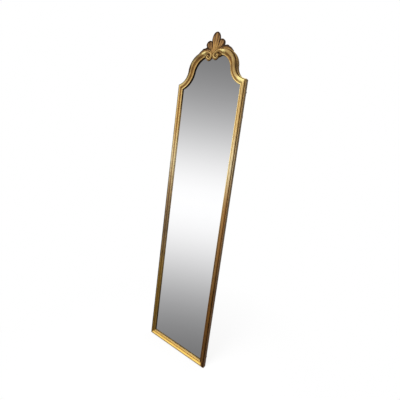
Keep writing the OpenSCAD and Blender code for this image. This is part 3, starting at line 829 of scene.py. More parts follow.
@dataclass(frozen=True)
class Section:
    """The moulding's section, from the glass outwards and back along the wall side."""

    bead_w: float = 6.0
    hollow_w: float = 5.5
    round_w: float = 15.0
    groove_w: float = 1.5
    sight_depth: float = 11.4
    round_rise: float = 6.2
    bead_rise: float = 2.0
    groove_depth: float = 11.0
    edge_rise: float = 3.0
    tuck: float = 2.2
    worn: float = 1.0
    bead_highlight: float = 1.0
    round_highlight: float = 0.0
    edge_dark: float = 1.0
    hollow_end: float = 0.34
    highlight_from: float = 0.08
    highlight_to: float = 0.85
    hollow_highlight: float = 0.0
    wear_and_shade_from: float = 0.26
    lip: float = 0.62

    @staticmethod
    def half_round(start: float, end: float, foot: float, rise: float, steps: int,
                   marked: Callable[[float], dict[Zone, float]]) -> list[SectionPoint]:
        """Draws a half round.

        Args:
            start: Where it starts, measured from the sight edge.
            end: Where it ends.
            foot: Depth of its foot.
            rise: How far it stands up.
            steps: Number of pieces in the curve.
            marked: Marks for a place from 0 to 1 across it.

        Returns:
            Its points.
        """
        points = []
        for step in range(steps + 1):
            turn = math.pi * step / steps
            share = (1 - math.cos(turn)) / 2
            points.append(SectionPoint(mix(start, end, share), foot - rise * math.sin(turn),
                                       marks=marked(share)))
        return points

    def bead_marks(self, share: float) -> dict[Zone, float]:
        """Marks the bead along the glass, with glaze at its feet and a painted highlight on its crown.
        """
        return {Zone.HOLLOW: 0.5 * smooth(share, 0.72, 1.0) + 0.5 * smooth(0.18 - share, 0.0, 0.18),
                Zone.SHINE: self.bead_highlight * math.sin(math.pi * share) ** 2}

    def round_marks(self, share: float) -> dict[Zone, float]:
        """Marks the main round: clean, with a painted highlight, towards the glass, and worn brown on
        its outer side, which is also painted shade.

        Args:
            share: Place across it, 0 to 1.

        Returns:
            How strongly each mark shows there.
        """
        lit = (smooth(share, self.highlight_from, self.highlight_from + 0.22)
               * smooth(self.highlight_to - share, 0, 0.25))
        return {Zone.HOLLOW: (1.2 * self.hollow_end * smooth(0.2 - share, 0.0, 0.2)
                              + 0.85 * smooth(share, 0.80, 1.0)),
                Zone.WORN: self.worn * smooth(share, self.wear_and_shade_from, self.wear_and_shade_from + 0.34),
                Zone.SHINE: self.round_highlight * lit}

    def edge_marks(self, share: float) -> dict[Zone, float]:
        """Marks the outer bead: glaze at its feet, and a painted highlight on its crown where edge_dark
        is below 1.
        """
        dark = 0.95 * smooth(0.4 - share, 0.0, 0.3) + 0.7 * smooth(share, 0.65, 1.0)
        return {Zone.HOLLOW: dark * self.edge_dark, Zone.WORN: self.worn * 0.5 * self.edge_dark,
                Zone.SHINE: (1 - self.edge_dark) * math.sin(math.pi * share)}

    def front(self) -> list[SectionPoint]:
        """Draws the gilded front.

        Returns:
            Points from the sight edge to the outer edge.
        """
        round_u = self.bead_w + self.hollow_w
        groove_u = round_u + self.round_w
        edge_u = groove_u + self.groove_w
        points = self.half_round(0, self.bead_w, self.sight_depth, self.bead_rise, 8,
                                 self.bead_marks)
        for step in range(1, 8):
            turn = math.pi / 2 * step / 8
            points.append(SectionPoint(
                mix(self.bead_w, round_u, math.sin(turn)),
                mix(self.sight_depth, self.round_rise, 1 - math.cos(turn)),
                marks={Zone.HOLLOW: mix(0.6 + 0.3 * self.hollow_highlight, self.hollow_end, step / 8),
                       Zone.WORN: self.worn * 0.15,
                       Zone.SHINE: self.hollow_highlight * smooth(step / 8, 0.5, 0.9)}))
        points += self.half_round(round_u, groove_u, self.round_rise, self.round_rise, 20,
                                  self.round_marks)
        for share, depth in ((0.08, 0.5), (0.2, 0.93), (0.55, 1.0)):
            points.append(SectionPoint(groove_u + self.groove_w * share,
                                       mix(self.round_rise, self.groove_depth, depth),
                                       marks={Zone.HOLLOW: 0.85}))
        points += self.half_round(edge_u, PLAN.mould_w, self.groove_depth, self.edge_rise, 10,
                                  self.edge_marks)
        for point in points:
            point.lift = max(0.0, 1 - point.y / self.round_rise)
        return points

    def closed(self) -> list[SectionPoint]:
        """Draws the whole section, with its painted side, its bare back and its black lip.

        Returns:
            All points of the closed section.
        """
        side = [SectionPoint(PLAN.mould_w, depth, marks={Zone.OCHRE: 1.0, Zone.HOLLOW: dark})
                for depth, dark in ((self.groove_depth + 0.6, 0.0), (17.0, 0.1), (24.0, 0.35),
                                    (PLAN.depth - 0.8, 0.7))]
        foot = self.sight_depth + self.tuck
        # the lip's black paint is kept only round the top of the opening, where it is painted shade,
        # and the lip value darkens the lip further
        black = {Zone.BLACK: 1.0, Zone.HOLLOW: self.lip}
        lip = [SectionPoint(u, depth, False, marks=marks) for u, depth, marks in (
            (0.4, PLAN.glass_y, black), (0.0, PLAN.glass_y - 0.4, black), (0.0, foot + 0.3, black),
            (0.0, foot, {Zone.HOLLOW: self.lip * 1.2}),
            (0.0, self.sight_depth + 0.7, {Zone.HOLLOW: self.lip * 0.8}))]
        return self.front() + side + self.rebates() + lip

    @staticmethod
    def rebates() -> list[SectionPoint]:
        """Draws the bare back, with the rebates that hold the board and the glass."""
        bare = {Zone.BARE: 1.0}
        inside = [SectionPoint(u, depth, False, marks=bare) for u, depth in (
            (PLAN.board_u, PLAN.depth), (PLAN.board_u, PLAN.shelf_y),
            (PLAN.rebate_w, PLAN.shelf_y), (PLAN.rebate_w, PLAN.glass_y))]
        return [SectionPoint(PLAN.mould_w, PLAN.depth, marks=bare)] + inside


# ---- meshes ----


class Bench:
    """Small jobs on meshes that every part of the woodwork needs."""

    @staticmethod
    def add(name: str, data: bpy.types.ID) -> bpy.types.Object:
        """Puts a mesh, a light or a camera into the scene at the origin."""
        made = bpy.data.objects.new(name, data)
        bpy.context.scene.collection.objects.link(made)
        return made

    @staticmethod
    def mesh(name: str, points: Sequence[Sequence[float]], faces: Iterable[Sequence[int]],
             marks: dict[str, Sequence[float]] | None = None) -> bpy.types.Mesh:
        """Makes a mesh.

        Args:
            name: Its name.
            points: Its corners, in metres.
            faces: Its faces, as numbers of corners.
            marks: Name to one number for each corner.

        Returns:
            The mesh.
        """
        made = bpy.data.meshes.new(name)
        made.from_pydata([tuple(p) for p in points], [], [tuple(f) for f in faces])
        for mark, values in (marks or {}).items():
            layer = made.attributes.new(mark, "FLOAT", "POINT")
            layer.data.foreach_set("value", list(values))
        made.update()
        return made

    @staticmethod
    def finish(mesh: bpy.types.Mesh, sharp_deg: float = 38.0, weld: float = 2e-6) -> None:
        """Welds a mesh, closes its open ends, turns its faces outwards and smooths it.

        Args:
            mesh: The mesh, changed in place.
            sharp_deg: Edges that turn by more than this stay sharp.
            weld: Corners closer than this, in metres, become one.
        """
        work = bmesh.new()
        work.from_mesh(mesh)
        bmesh.ops.remove_doubles(work, verts=work.verts, dist=weld)
        bmesh.ops.dissolve_degenerate(work, dist=weld / 4, edges=work.edges)
        edges = [e for e in work.edges if e.is_boundary]
        if edges:
            bmesh.ops.holes_fill(work, edges=edges, sides=0)
        many = [f for f in work.faces if len(f.verts) > 4]
        bmesh.ops.triangulate(work, faces=many, quad_method="BEAUTY", ngon_method="EAR_CLIP")
        bmesh.ops.recalc_face_normals(work, faces=work.faces)
        work.to_mesh(mesh)
        work.free()
        mesh.shade_smooth()
        mesh.set_sharp_from_angle(angle=math.radians(sharp_deg))

    @classmethod
    def carved(cls, name: str, corners: Sequence[tuple[Vector, dict[Zone, float]]],
               faces: Iterable[Sequence[int]], sharp_deg: float,
               runs: Sequence[float] | None = None) -> bpy.types.Mesh:
        """Makes a closed mesh that carries every mark of the gilding.

        Args:
            name: Its name.
            corners: Pairs of a place in metres and the marks there.
            faces: Its faces, as numbers of corners.
            sharp_deg: Edges that turn by more than this stay sharp.
            runs: How far along the piece each corner lies, for the gilding's streaks.

        Returns:
            The finished mesh.
        """
        marks = {zone.value: [mark.get(zone, 0.0) for _, mark in corners] for zone in Zone}
        marks["run"] = runs or [0.0] * len(corners)
        marks["across"] = [0.5] * len(corners)
        made = cls.mesh(name, [spot for spot, _ in corners], faces, marks)
        cls.finish(made, sharp_deg)
        return made

    @staticmethod
    def ring(radius: float, depth: float, sides: int,
             centre: Point = (0.0, 0.0)) -> list[Triple]:
        """Returns a ring of corners round the Y axis, or round a line along it through a centre."""
        around = [polar(centre, radius, 360 * i / sides) for i in range(sides)]
        return [(x, depth, z) for x, z in around]

    @staticmethod
    def tube(rings: int, sides: int, turned: bool = False) -> list[tuple[int, int, int, int]]:
        """Joins rings of corners that follow one another.

        Args:
            rings: How many rings there are.
            sides: How many corners each has.
            turned: Whether the faces run round the other way.

        Returns:
            The tube's faces, open at both ends.
        """
        faces = []
        for low in range(0, (rings - 1) * sides, sides):
            for i in range(sides):
                j = (i + 1) % sides
                across, along = (low + j, low + sides + i)
                first, last = (along, across) if turned else (across, along)
                faces.append((low + i, first, low + sides + j, last))
        return faces

    @staticmethod
    def mirrored(mesh: bpy.types.Mesh, name: str) -> bpy.types.Mesh:
        """Copies a mesh to the other side of the middle, with its faces outwards.

        Args:
            mesh: The mesh.
            name: The copy's name.

        Returns:
            The copy.
        """
        made = mesh.copy()
        made.name = name
        made.transform(Matrix.Diagonal((-1, 1, 1, 1)))
        made.flip_normals()
        return made

    @staticmethod
    def dress(piece: bpy.types.Object, material: bpy.types.Material) -> None:
        """Gives a piece one material."""
        piece.data.materials.clear()
        piece.data.materials.append(material)


class Grower(Tree):
    """A Geometry Nodes tree with named inputs, run once on an empty mesh."""

    def __init__(self, name: str, inputs: dict[str, str]) -> None:
        """Makes the tree and its inputs.

        Args:
            name: The tree's name.
            inputs: Input name to the kind of its socket.
        """
        self.group = bpy.data.node_groups.new(name, "GeometryNodeTree")
        super().__init__(self.group)
        self.ids: dict[str, str] = {}
        self.group.interface.new_socket("Geometry", in_out="OUTPUT",
                                        socket_type="NodeSocketGeometry")
        for label, kind in {**inputs, "Material": "Material"}.items():
            made = self.group.interface.new_socket(label, in_out="INPUT",
                                                   socket_type=f"NodeSocket{kind}")
            self.ids[label] = made.identifier
        self.given = self.node("NodeGroupInput")

    def value(self, label: str) -> Reckoned:
        """Returns one of the tree's number inputs."""
        return Reckoned(self, self.given.outputs[label])

    def shape(self, label: str) -> bpy.types.NodeSocket:
        """Returns the geometry of an object input, in the mirror's own place."""
        return self.node("GeometryNodeObjectInfo", {"transform_space": "ORIGINAL"},
                         {"Object": self.given.outputs[label]}).outputs["Geometry"]

    def sampled(self, shape: bpy.types.NodeSocket, value: bpy.types.NodeSocket, index: Value,
                kind: str) -> bpy.types.NodeSocket:
        """Reads a value of a shape at one of its corners."""
        return self.node("GeometryNodeSampleIndex", {"data_type": kind, "domain": "POINT"},
                         {"Geometry": shape, "Value": value, "Index": index}).outputs[0]

    def read(self, shape: bpy.types.NodeSocket, name: str, index: Value) -> Reckoned:
        """Returns a number that a shape carries at one of its corners."""
        carried = self.node("GeometryNodeInputNamedAttribute", {"data_type": "FLOAT"},
                            {"Name": name}).outputs[0]
        return Reckoned(self, self.sampled(shape, carried, index, "FLOAT"))

    def vector(self, operation: str, *values: object) -> bpy.types.NodeSocket:
        """Adds a Vector Math node and returns its vector."""
        return self.node("ShaderNodeVectorMath", {"operation": operation},
                         dict(enumerate(values))).outputs[0]

    def end(self, shape: bpy.types.NodeSocket) -> None:
        """Closes the tree: real geometry, smooth, with its material.

        Args:
            shape: The geometry so far.
        """
        real = self.node("GeometryNodeRealizeInstances", None, {"Geometry": shape})
        smooth_out = self.node("GeometryNodeSetShadeSmooth", None, {"Geometry": real.outputs[0]})
        dressed = self.node("GeometryNodeSetMaterial", None, {
            "Geometry": smooth_out.outputs[0], "Material": self.given.outputs["Material"]})
        self.node("NodeGroupOutput", None, {0: dressed.outputs[0]})

    def grow(self, name: str, values: dict[str, object],
             helpers: Sequence[bpy.types.Object]) -> bpy.types.Mesh:
        """Runs the tree.

        Args:
            name: Name of the mesh that comes out.
            values: Input name to value.
            helpers: Objects that only the tree needs, removed at the end.

        Returns:
            The plain mesh; the modifier and the object that carried it are gone.
        """
        carrier = Bench.add("carrier", bpy.data.meshes.new("carrier"))
        modifier = carrier.modifiers.new("grow", "NODES")
        modifier.node_group = self.group
        for label, value in values.items():
            modifier[self.ids[label]] = value
        carrier.update_tag()
        bpy.context.view_layer.update()
        depsgraph = bpy.context.evaluated_depsgraph_get()
        made = bpy.data.meshes.new_from_object(carrier.evaluated_get(depsgraph),
                                               preserve_all_data_layers=True, depsgraph=depsgraph)
        made.name = name
        carrier.modifiers.remove(modifier)
        for spent in (carrier, *helpers):
            bpy.data.objects.remove(spent)
        return made


class MouldingGrower(Grower):
    """Sweeps a section between an inner and an outer line of as many corners."""

    def __init__(self) -> None:
        """Builds the tree."""
        super().__init__("moulding", {
            "Inner line": "Object", "Outer line": "Object", "Section": "Object", "Rings": "Int",
            "Corners": "Int"})
        corners, rings = self.value("Corners"), self.value("Rings")
        grid = self.node("GeometryNodeMeshGrid", None, {
            "Vertices X": rings, "Vertices Y": corners}).outputs["Mesh"]
        index = Reckoned(self, self.node("GeometryNodeInputIndex").outputs[0])
        ring = self.maths("FLOOR", (index + 0.5) / corners)
        corner = index - ring * corners
        spot = self.node("GeometryNodeInputPosition").outputs[0]
        inner_shape, outer_shape = self.shape("Inner line"), self.shape("Outer line")
        section = self.shape("Section")
        inner, outer, drawn = (self.sampled(shape, spot, number, "FLOAT_VECTOR") for shape, number in (
            (inner_shape, ring), (outer_shape, ring), (section, corner)))
        parts = self.node("ShaderNodeSeparateXYZ", None, {0: drawn})
        stretch, back, fixed = (Reckoned(self, socket) for socket in parts.outputs)
        across = self.vector("SUBTRACT", outer, inner)
        width = Reckoned(self, self.node("ShaderNodeVectorMath", {"operation": "LENGTH"},
                                         {0: across}).outputs["Value"])
        lift = self.read(inner_shape, "lift", ring) * self.read(section, "lift", corner)
        step = self.node("ShaderNodeVectorMath", {"operation": "SCALE"}, {
            0: self.vector("NORMALIZE", across), "Scale": stretch * width + fixed}).outputs[0]
        sink = self.node("ShaderNodeCombineXYZ", None, {"Y": back - lift}).outputs[0]
        moved = self.vector("ADD", self.vector("ADD", inner, step), sink)
        shape = self.node("GeometryNodeSetPosition", None,
                          {"Geometry": grid, "Position": moved}).outputs[0]
        # how strong the painted highlights are, and how black the lip's black paint and painted shade
        # is, runs along the member
        shares = {Zone.SHINE: self.read(inner_shape, "glow", ring),
                  Zone.BLACK: self.read(inner_shape, "soot", ring)}
        for zone in Zone:
            mark = self.read(section, zone.value, corner) * shares.get(zone, 1.0)
            shape = self._store(shape, zone.value, mark)
        shape = self._store(shape, "run", self.read(inner_shape, "run", ring))
        self.end(self._store(shape, "across", stretch))

    def _store(self, shape: bpy.types.NodeSocket, name: str,
               value: Reckoned) -> bpy.types.NodeSocket:
        """Keeps a number on the corners under a name."""
        return self.node("GeometryNodeStoreNamedAttribute",
                         {"data_type": "FLOAT", "domain": "POINT"},
                         {"Geometry": shape, "Name": name, "Value": value}).outputs[0]

    def sweep(self, name: str, inner: Sequence[Point], outer: Sequence[Point],
              section: Sequence[SectionPoint], material: bpy.types.Material,
              lifts: Sequence[float] | None = None, highlights: Sequence[float] | None = None,
              lip_shades: Sequence[float] | None = None) -> bpy.types.Mesh:
        """Sweeps a section and closes both ends.

        Args:
            name: The mesh's name.
            inner: Points of the inner line, x and height above the floor.
            outer: As many points of the outer line.
            section: The closed section.
            material: The finish.
            lifts: How far the section's raised parts stand up at each ring.
            highlights: How strong the section's painted highlights are at each ring, 0 to 1.
            lip_shades: How black its black lip is at each ring, 0 to 1; where it is strong, it is
                painted shade.

        Returns:
            The closed mesh.
        """
        count = len(inner)
        middle = [between(a, b, 0.5) for a, b in zip(inner, outer)]
        steps = [math.dist(a, b) / 1000 for a, b in zip(middle[1:], middle)]
        marks = {"run": list(accumulate(steps, initial=0.0)), "glow": highlights or [0.0] * count,
                 "soot": lip_shades or [1.0] * count,
                 "lift": [lift / 1000 for lift in lifts or [0.0] * count]}
        ring = list(section) + [section[0]]
        drawn = [((p.u / PLAN.mould_w if p.stretches else 0.0), p.y / 1000,
                  (0.0 if p.stretches else p.u / 1000)) for p in ring]
        zones = {zone.value: [p.marks.get(zone, 0.0) for p in ring] for zone in Zone}
        helpers = [Bench.add(label, Bench.mesh(label, points, [], carried))
                   for label, points, carried in (
                       (f"{name}_inner", [row(x, 0.0, z) for x, z in inner], marks),
                       (f"{name}_outer", [row(x, 0.0, z) for x, z in outer], marks),
                       (f"{name}_section", drawn, {**zones, "lift": [p.lift for p in ring]}))]
        made = self.grow(name, {
            "Inner line": helpers[0], "Outer line": helpers[1], "Section": helpers[2],
            "Rings": count, "Corners": len(ring), "Material": material}, helpers)
        Bench.finish(made)
        return made


class Copier(Grower):
    """Sets copies of one shape on marked places, each turned about its own axis by chance."""

    def __init__(self) -> None:
        """Builds the tree."""
        super().__init__("copies", {"Sites": "Object", "Shape": "Object", "Turn": "Float",
                                    "Seed": "Int"})
        turn = self.node("FunctionNodeRandomValue", {"data_type": "FLOAT"}, {
            "Min": 0.0, "Max": self.value("Turn"), "Seed": self.value("Seed")})
        about = self.node("ShaderNodeCombineXYZ", None, {
            "Y": [s for s in turn.outputs if s.enabled][0]}).outputs[0]
        made = self.node("GeometryNodeInstanceOnPoints", None, {
            "Points": self.shape("Sites"), "Instance": self.shape("Shape"), "Rotation": about})
        self.end(made.outputs[0])

    def copies(self, name: str, sites: Sequence[Vector], shape: bpy.types.Mesh,
               material: bpy.types.Material, turn: float = 0.0, seed: int = 3) -> bpy.types.Mesh:
        """Makes the copies.

        Args:
            name: Name of the mesh.
            sites: Where each copy stands, in metres.
            shape: The shape, drawn round the origin.
            material: The finish.
            turn: Largest chance turn about +Y, in radians.
            seed: Fixes the chance.

        Returns:
            One mesh with every copy.
        """
        spots = Bench.add(f"{name}_sites", Bench.mesh(f"{name}_sites", sites, []))
        pattern = Bench.add(f"{name}_shape", shape)
        made = self.grow(name, {"Sites": spots, "Shape": pattern, "Turn": turn, "Seed": seed,
                                "Material": material}, (spots, pattern))
        made.set_sharp_from_angle(angle=math.radians(35))
        return made


# ---- sub-assemblies ----


def keep(piece: bpy.types.Object, body: str, nodes: Sequence[str]) -> None:
    """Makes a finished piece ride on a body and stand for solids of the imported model.

    Args:
        piece: The piece.
        body: The body that it moves with.
        nodes: The solids that it stands for.
    """
    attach(piece, body)
    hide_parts(*nodes)
    log.info("%s: %d faces, for %s", piece.name, len(piece.data.polygons), ", ".join(nodes))


def place(name: str, look: str, slot: str, mesh: bpy.types.Mesh) -> bpy.types.Object:
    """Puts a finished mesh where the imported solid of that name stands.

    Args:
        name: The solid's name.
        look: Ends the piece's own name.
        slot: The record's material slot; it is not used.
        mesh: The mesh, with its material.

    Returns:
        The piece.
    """
    piece = Bench.add(f"{name}_{look}", mesh)
    keep(piece, MIRROR, [name])
    return piece


def place_pair(name: str, look: str, slot: str, mesh: bpy.types.Mesh) -> list[bpy.types.Object]:
    """Puts a mesh on the right of the mirror and its image on the left.

    Args:
        name: The solids' name without its side.
        look: Ends the pieces' own names.
        slot: The record's material slot; it is passed on to place, which does not use it.
        mesh: The right-hand mesh, with its material.

    Returns:
        The right piece and the left one.
    """
    image = Bench.mirrored(mesh, f"left_{name}")
    return [place(f"{side}_{name}", look, slot, made)
            for side, made in (("right", mesh), ("left", image))]


@dataclass
class Woodwork:
    """The gilded frame: straight members, coved shoulders, arches and the block at the crown."""

    gold: bpy.types.Material
    grower: MouldingGrower
    plan: Plan = PLAN
    stile_section: Section = Section(lip=0.2)
    # the rail's round and hollow carry painted highlights
    rail_section: Section = Section(worn=0.9, round_highlight=1.0, lip=0.0, hollow_end=0.1,
                                    highlight_from=-0.25, highlight_to=0.34, hollow_highlight=1.0,
                                    wear_and_shade_from=0.06)
    cove_section: Section = Section(worn=0.7, round_highlight=0.5, edge_dark=0.85)
    arch_section: Section = Section(worn=0.85, round_highlight=1.0, bead_highlight=0.8, edge_dark=0.7)
    # how strong the painted highlights are along the stiles, the coves and the arches
    stile_highlights: tuple[Point, ...] = ((0.2, 0.0), (0.45, 0.02), (0.6, 0.2), (0.7, 0.7), (0.8, 0.85),
                                     (0.9, 0.45), (1.0, 0.35))
    cove_highlights: tuple[Point, ...] = ((0, 0.85), (0.35, 0.6), (0.7, 0.12), (1, 0.0))
    arch_highlights: tuple[Point, ...] = ((0, 0.0), (0.15, 0.0), (0.3, 0.2), (0.6, 0.08), (0.86, 0.12),
                                    (0.94, 0.6), (1, 0.5))
    straight_rings: int = 90
    cove_rings: int = 44
    arch_rings: int = 84
    crown_rings: int = 41
    crown_y: float = 10.0

    def build(self) -> None:
        """Builds every member."""
        self.straight()
        self.curved("cove", self.cove_rings, self.plan.cove, self.cove_section, 0.0, self.cove_highlights)
        self.curved("arch", self.arch_rings, self.plan.arch, self.arch_section, self.plan.swell,
                    self.arch_highlights)
        self.crown()

    def straight(self) -> None:
        """Builds the rail and the two stiles, mitred where they meet."""
        plan, count = self.plan, self.straight_rings
        low, in_x, half, top = plan.mould_w, plan.in_x, plan.half_w, plan.shoulder_h
        shares = evenly(count)
        rail = self.grower.sweep(
            "bottom_rail", [(mix(-in_x, in_x, s), low) for s in shares],
            [(mix(-half, half, s), 0.0) for s in shares], self.rail_section.closed(), self.gold,
            highlights=[1.0] * count, lip_shades=[0.0] * count)
        place("bottom_rail", "gilt", "gilt_wood", rail)
        stile = self.grower.sweep(
            "right_stile", [(in_x, mix(low, top - plan.shoulder_drop, s)) for s in shares],
            [(half, mix(0.0, top, s)) for s in shares], self.stile_section.closed(), self.gold,
            highlights=[table(s, self.stile_highlights) for s in shares],
            # the stiles' lip is black only near their tops, as painted shade
            lip_shades=[smooth(s, 0.9, 0.97) for s in shares])
        place_pair("stile", "gilt", "gilt_wood", stile)

    def curved(self, name: str, rings: int, curve: Curve, section: Section, swell: float,
               glow: Sequence[Point]) -> None:
        """Builds a curved member and its mirror image.

        Args:
            name: The member's name without its side.
            rings: How many sections it is drawn through.
            curve: Gives a point of its outer or inner curve.
            section: Its section.
            swell: How far the round swells at its end.
            glow: Table of how strong its painted highlights are along its length.
        """
        shares = evenly(rings)
        inner, outer = ([(x, z + self.plan.shoulder_h) for x, z in (curve(s, side) for s in shares)]
                        for side in (False, True))
        place_pair(name, "gilt", "gilt_wood", self.grower.sweep(
            f"right_{name}", inner, outer, section.closed(), self.gold,
            [swell * s * s for s in shares], [table(s, glow) for s in shares]))

    def crown(self) -> None:
        """Builds the block behind the scrolls."""
        plan, base = self.plan, self.plan.shoulder_h
        xs = [mix(-plan.crown_x, plan.crown_x, s) for s in evenly(self.crown_rings)]
        front = [SectionPoint(u, y, False, marks={Zone.HOLLOW: dark}) for u, y, dark in (
            (0.0, self.crown_y + 1.2, 0.6), (0.5, self.crown_y + 0.4, 0.4),
            (1.4, self.crown_y, 0.7), (3.0, self.crown_y, 0.93))]
        front.append(SectionPoint(plan.mould_w, self.crown_y, marks={Zone.HOLLOW: 0.93}))
        # the lip under the crown block is black: painted shade
        black = {Zone.BLACK: 1.0, Zone.HOLLOW: 1.0}
        lip = [SectionPoint(u, y, False, marks=marks) for u, y, marks in (
            (0.3, plan.glass_y, black), (0.0, 15.6, black), (0.0, 15.2, {Zone.HOLLOW: 0.7}))]
        place("crown_block", "gilt", "gilt_wood", self.grower.sweep(
            "crown_block", [(x, base + plan.apron(x)) for x in xs],
            [(x, base + plan.seat_z) for x in xs], front + Section.rebates() + lip, self.gold))


@dataclass
class Scrolls:
    """The pair of volutes in which the arches end, in millimetres."""

    gold: bpy.types.Material
    plan: Plan = PLAN
    section: Section = Section(worn=0.3)
    eye: Point = (23.0, 131.0)
    curl_r: float = 21.0
    ridge_w: float = 13.5
    proud: float = 3.0
    back: float = 10.0
    web: float = 6.0
    turns: float = 4.7
    split: float = 0.73
    steps: int = 170
    points: int = 44
    web_sides: int = 48
    sharp_deg: float = 50.0

    def edge(self, t: float, outer: bool) -> Point:
        """Draws the curl.

        Args:
            t: Quarter turns from the arch.
            outer: Whether it is the outer line.

        Returns:
            The point.
        """
        end = self.plan.arch(1.0, outer)
        lead = (end[0] - self.eye[0], end[1] - self.eye[1])
        inner_r = self.curl_r - self.ridge_w
        far = math.hypot(*lead)
        if outer:
            rows = [(0, far), (0.5, mix(far, self.curl_r + 11, 0.62)), (1, self.curl_r + 11),
                    (1.5, self.curl_r + 5), (2, self.curl_r + 1.5), (3, self.curl_r),
                    (4, self.curl_r - 2.5), (self.turns, self.curl_r - 7)]
        else:
            rows = [(0, far), (0.5, mix(far, self.curl_r - 8, 0.55)), (1, self.curl_r - 8),
                    (1.5, inner_r + 3.5), (2, inner_r + 1), (3, inner_r), (4, inner_r - 0.5),
                    (self.turns, 1)]
        start = bearing((0.0, 0.0), lead)
        turn = mix(start, 90.0, t) if t < 1 else 90.0 * t
        return polar(self.eye, table(t, rows), turn)

    def front_depth(self, front: Sequence[SectionPoint], t: float,
                    share: float) -> tuple[float, float]:
        """Shapes the front of the curl.

        Args:
            front: The front of the arch's section, with which the curl starts.
            t: Quarter turns from the arch.
            share: Place across the curl, 0 at its inner line and 1 at its outer one.

        Returns:
            Depth in millimetres, and the share of dark glaze.
        """
        line = [(p.u / PLAN.mould_w, p.y - self.plan.swell * p.lift) for p in front]
        start = min(self.back - 0.9, table(share, line))
        start_dark = table(share, [(p.u / PLAN.mould_w, p.marks.get(Zone.HOLLOW, 0.0)) for p in front])
        top = -min(self.proud, 1.5 + self.proud * t / 2) + 0.2
        if share < self.split:
            rise = math.sin(math.pi * min(1.0, share / self.split)) ** 0.72
            depth = mix(self.back - 1.6, top, rise)
            dark = 0.95 * smooth(1 - rise, 0.45, 0.95)
        else:
            rim = (share - self.split) / (1 - self.split)
            rise = math.sin(math.pi * min(1.0, rim)) ** 0.6
            depth = mix(self.back - 2.4, top + 2.2, rise)
            dark = mix(0.95, 0.1, smooth(rise, 0.45, 0.95))
        blend = smooth(t, 0.0, 0.95)
        return mix(start, depth, blend), mix(start_dark, dark, blend)

    @staticmethod
    def shine(t: float, share: float) -> float:
        """Returns the curl's painted highlight: near the arch, and on its inner half further on."""
        return (0.5 * smooth(0.45 - t, 0.0, 0.4) * smooth(share, 0.36, 0.5)
                * smooth(0.8 - share, 0.0, 0.15)
                + 0.5 * smooth(t, 1.2, 2.0) * smooth(share, 0.2, 0.32)
                * smooth(0.52 - share, 0.0, 0.12))

    def curl(self) -> bpy.types.Mesh:
        """Makes the curling ridge.

        Returns:
            The closed mesh.
        """
        front = self.section.front()
        # the curl's side walls are glazed dark: painted shade
        sides = [(0.0, 0.3, {Zone.HOLLOW: 0.95}), (0.0, 0.95, {Zone.HOLLOW: 1.0}),
                 (0.03, 1.0, {Zone.BARE: 1.0, Zone.HOLLOW: 1.0})]
        count = self.points + 1 + 2 * len(sides)
        corners, runs = [], []
        for step in range(self.steps + 1):
            t = self.turns * step / self.steps
            inner, outer = self.edge(t, False), self.edge(t, True)
            ring = []
            for i in range(self.points + 1):
                share = (1 - math.cos(math.pi * i / self.points)) / 2
                depth, dark = self.front_depth(front, t, share)
                ring.append((share, depth, {Zone.HOLLOW: dark, Zone.SHINE: self.shine(t, share)}))
            first, last = ring[0][1], ring[-1][1]
            ring += [(1.0 - inset, mix(last, self.back, down), mark) for inset, down, mark in sides]
            ring += [(inset, mix(first, self.back, down), mark)
                     for inset, down, mark in reversed(sides)]
            for share, depth, mark in ring:
                x, z = between(inner, outer, share)
                corners.append((row(x, depth, z + self.plan.shoulder_h), mark))
                runs.append(t * 0.02)
        return Bench.carved("right_scroll", corners, Bench.tube(self.steps + 1, count, True),
                            self.sharp_deg, runs)

    def dish(self) -> bpy.types.Mesh:
        """Makes the dished web inside the curl, with a round button at the eye.

        Returns:
            The closed mesh.
        """
        floor = self.back - self.web
        profile = [(0.01, floor - 1.6), (1.6, floor - 1.3), (3.2, floor + 0.4), (4.2, floor + 1.6),
                   (8.0, floor + 1.2), (12.0, floor + 0.6), (self.curl_r - 7, floor),
                   (self.curl_r - 5.2, self.back - 0.5), (self.curl_r - 5, self.back)]
        centre = (self.eye[0], self.eye[1] + self.plan.shoulder_h)
        corners = [(row(*spot), {Zone.HOLLOW: 0.15 if radius < 2 else 1.0,
                                  Zone.BARE: 1.0 if depth == self.back else 0.0})
                   for radius, depth in profile
                   for spot in Bench.ring(radius, depth, self.web_sides, centre)]
        return Bench.carved("web", corners, Bench.tube(len(profile), self.web_sides), self.sharp_deg)

    def build(self) -> None:
        """Builds the right scroll and its mirror image."""
        mesh = self.curl()
        work = bmesh.new()
        for part in (mesh, self.dish()):
            work.from_mesh(part)
        work.to_mesh(mesh)
        work.free()
        mesh.shade_smooth()
        mesh.set_sharp_from_angle(angle=math.radians(self.sharp_deg))
        mesh.materials.append(self.gold)
        for scroll in place_pair("scroll", "gilt", "gilt_wood", mesh):
            # the glass would show their dark undersides, which the photo's glass doesn't
            scroll.visible_glossy = False


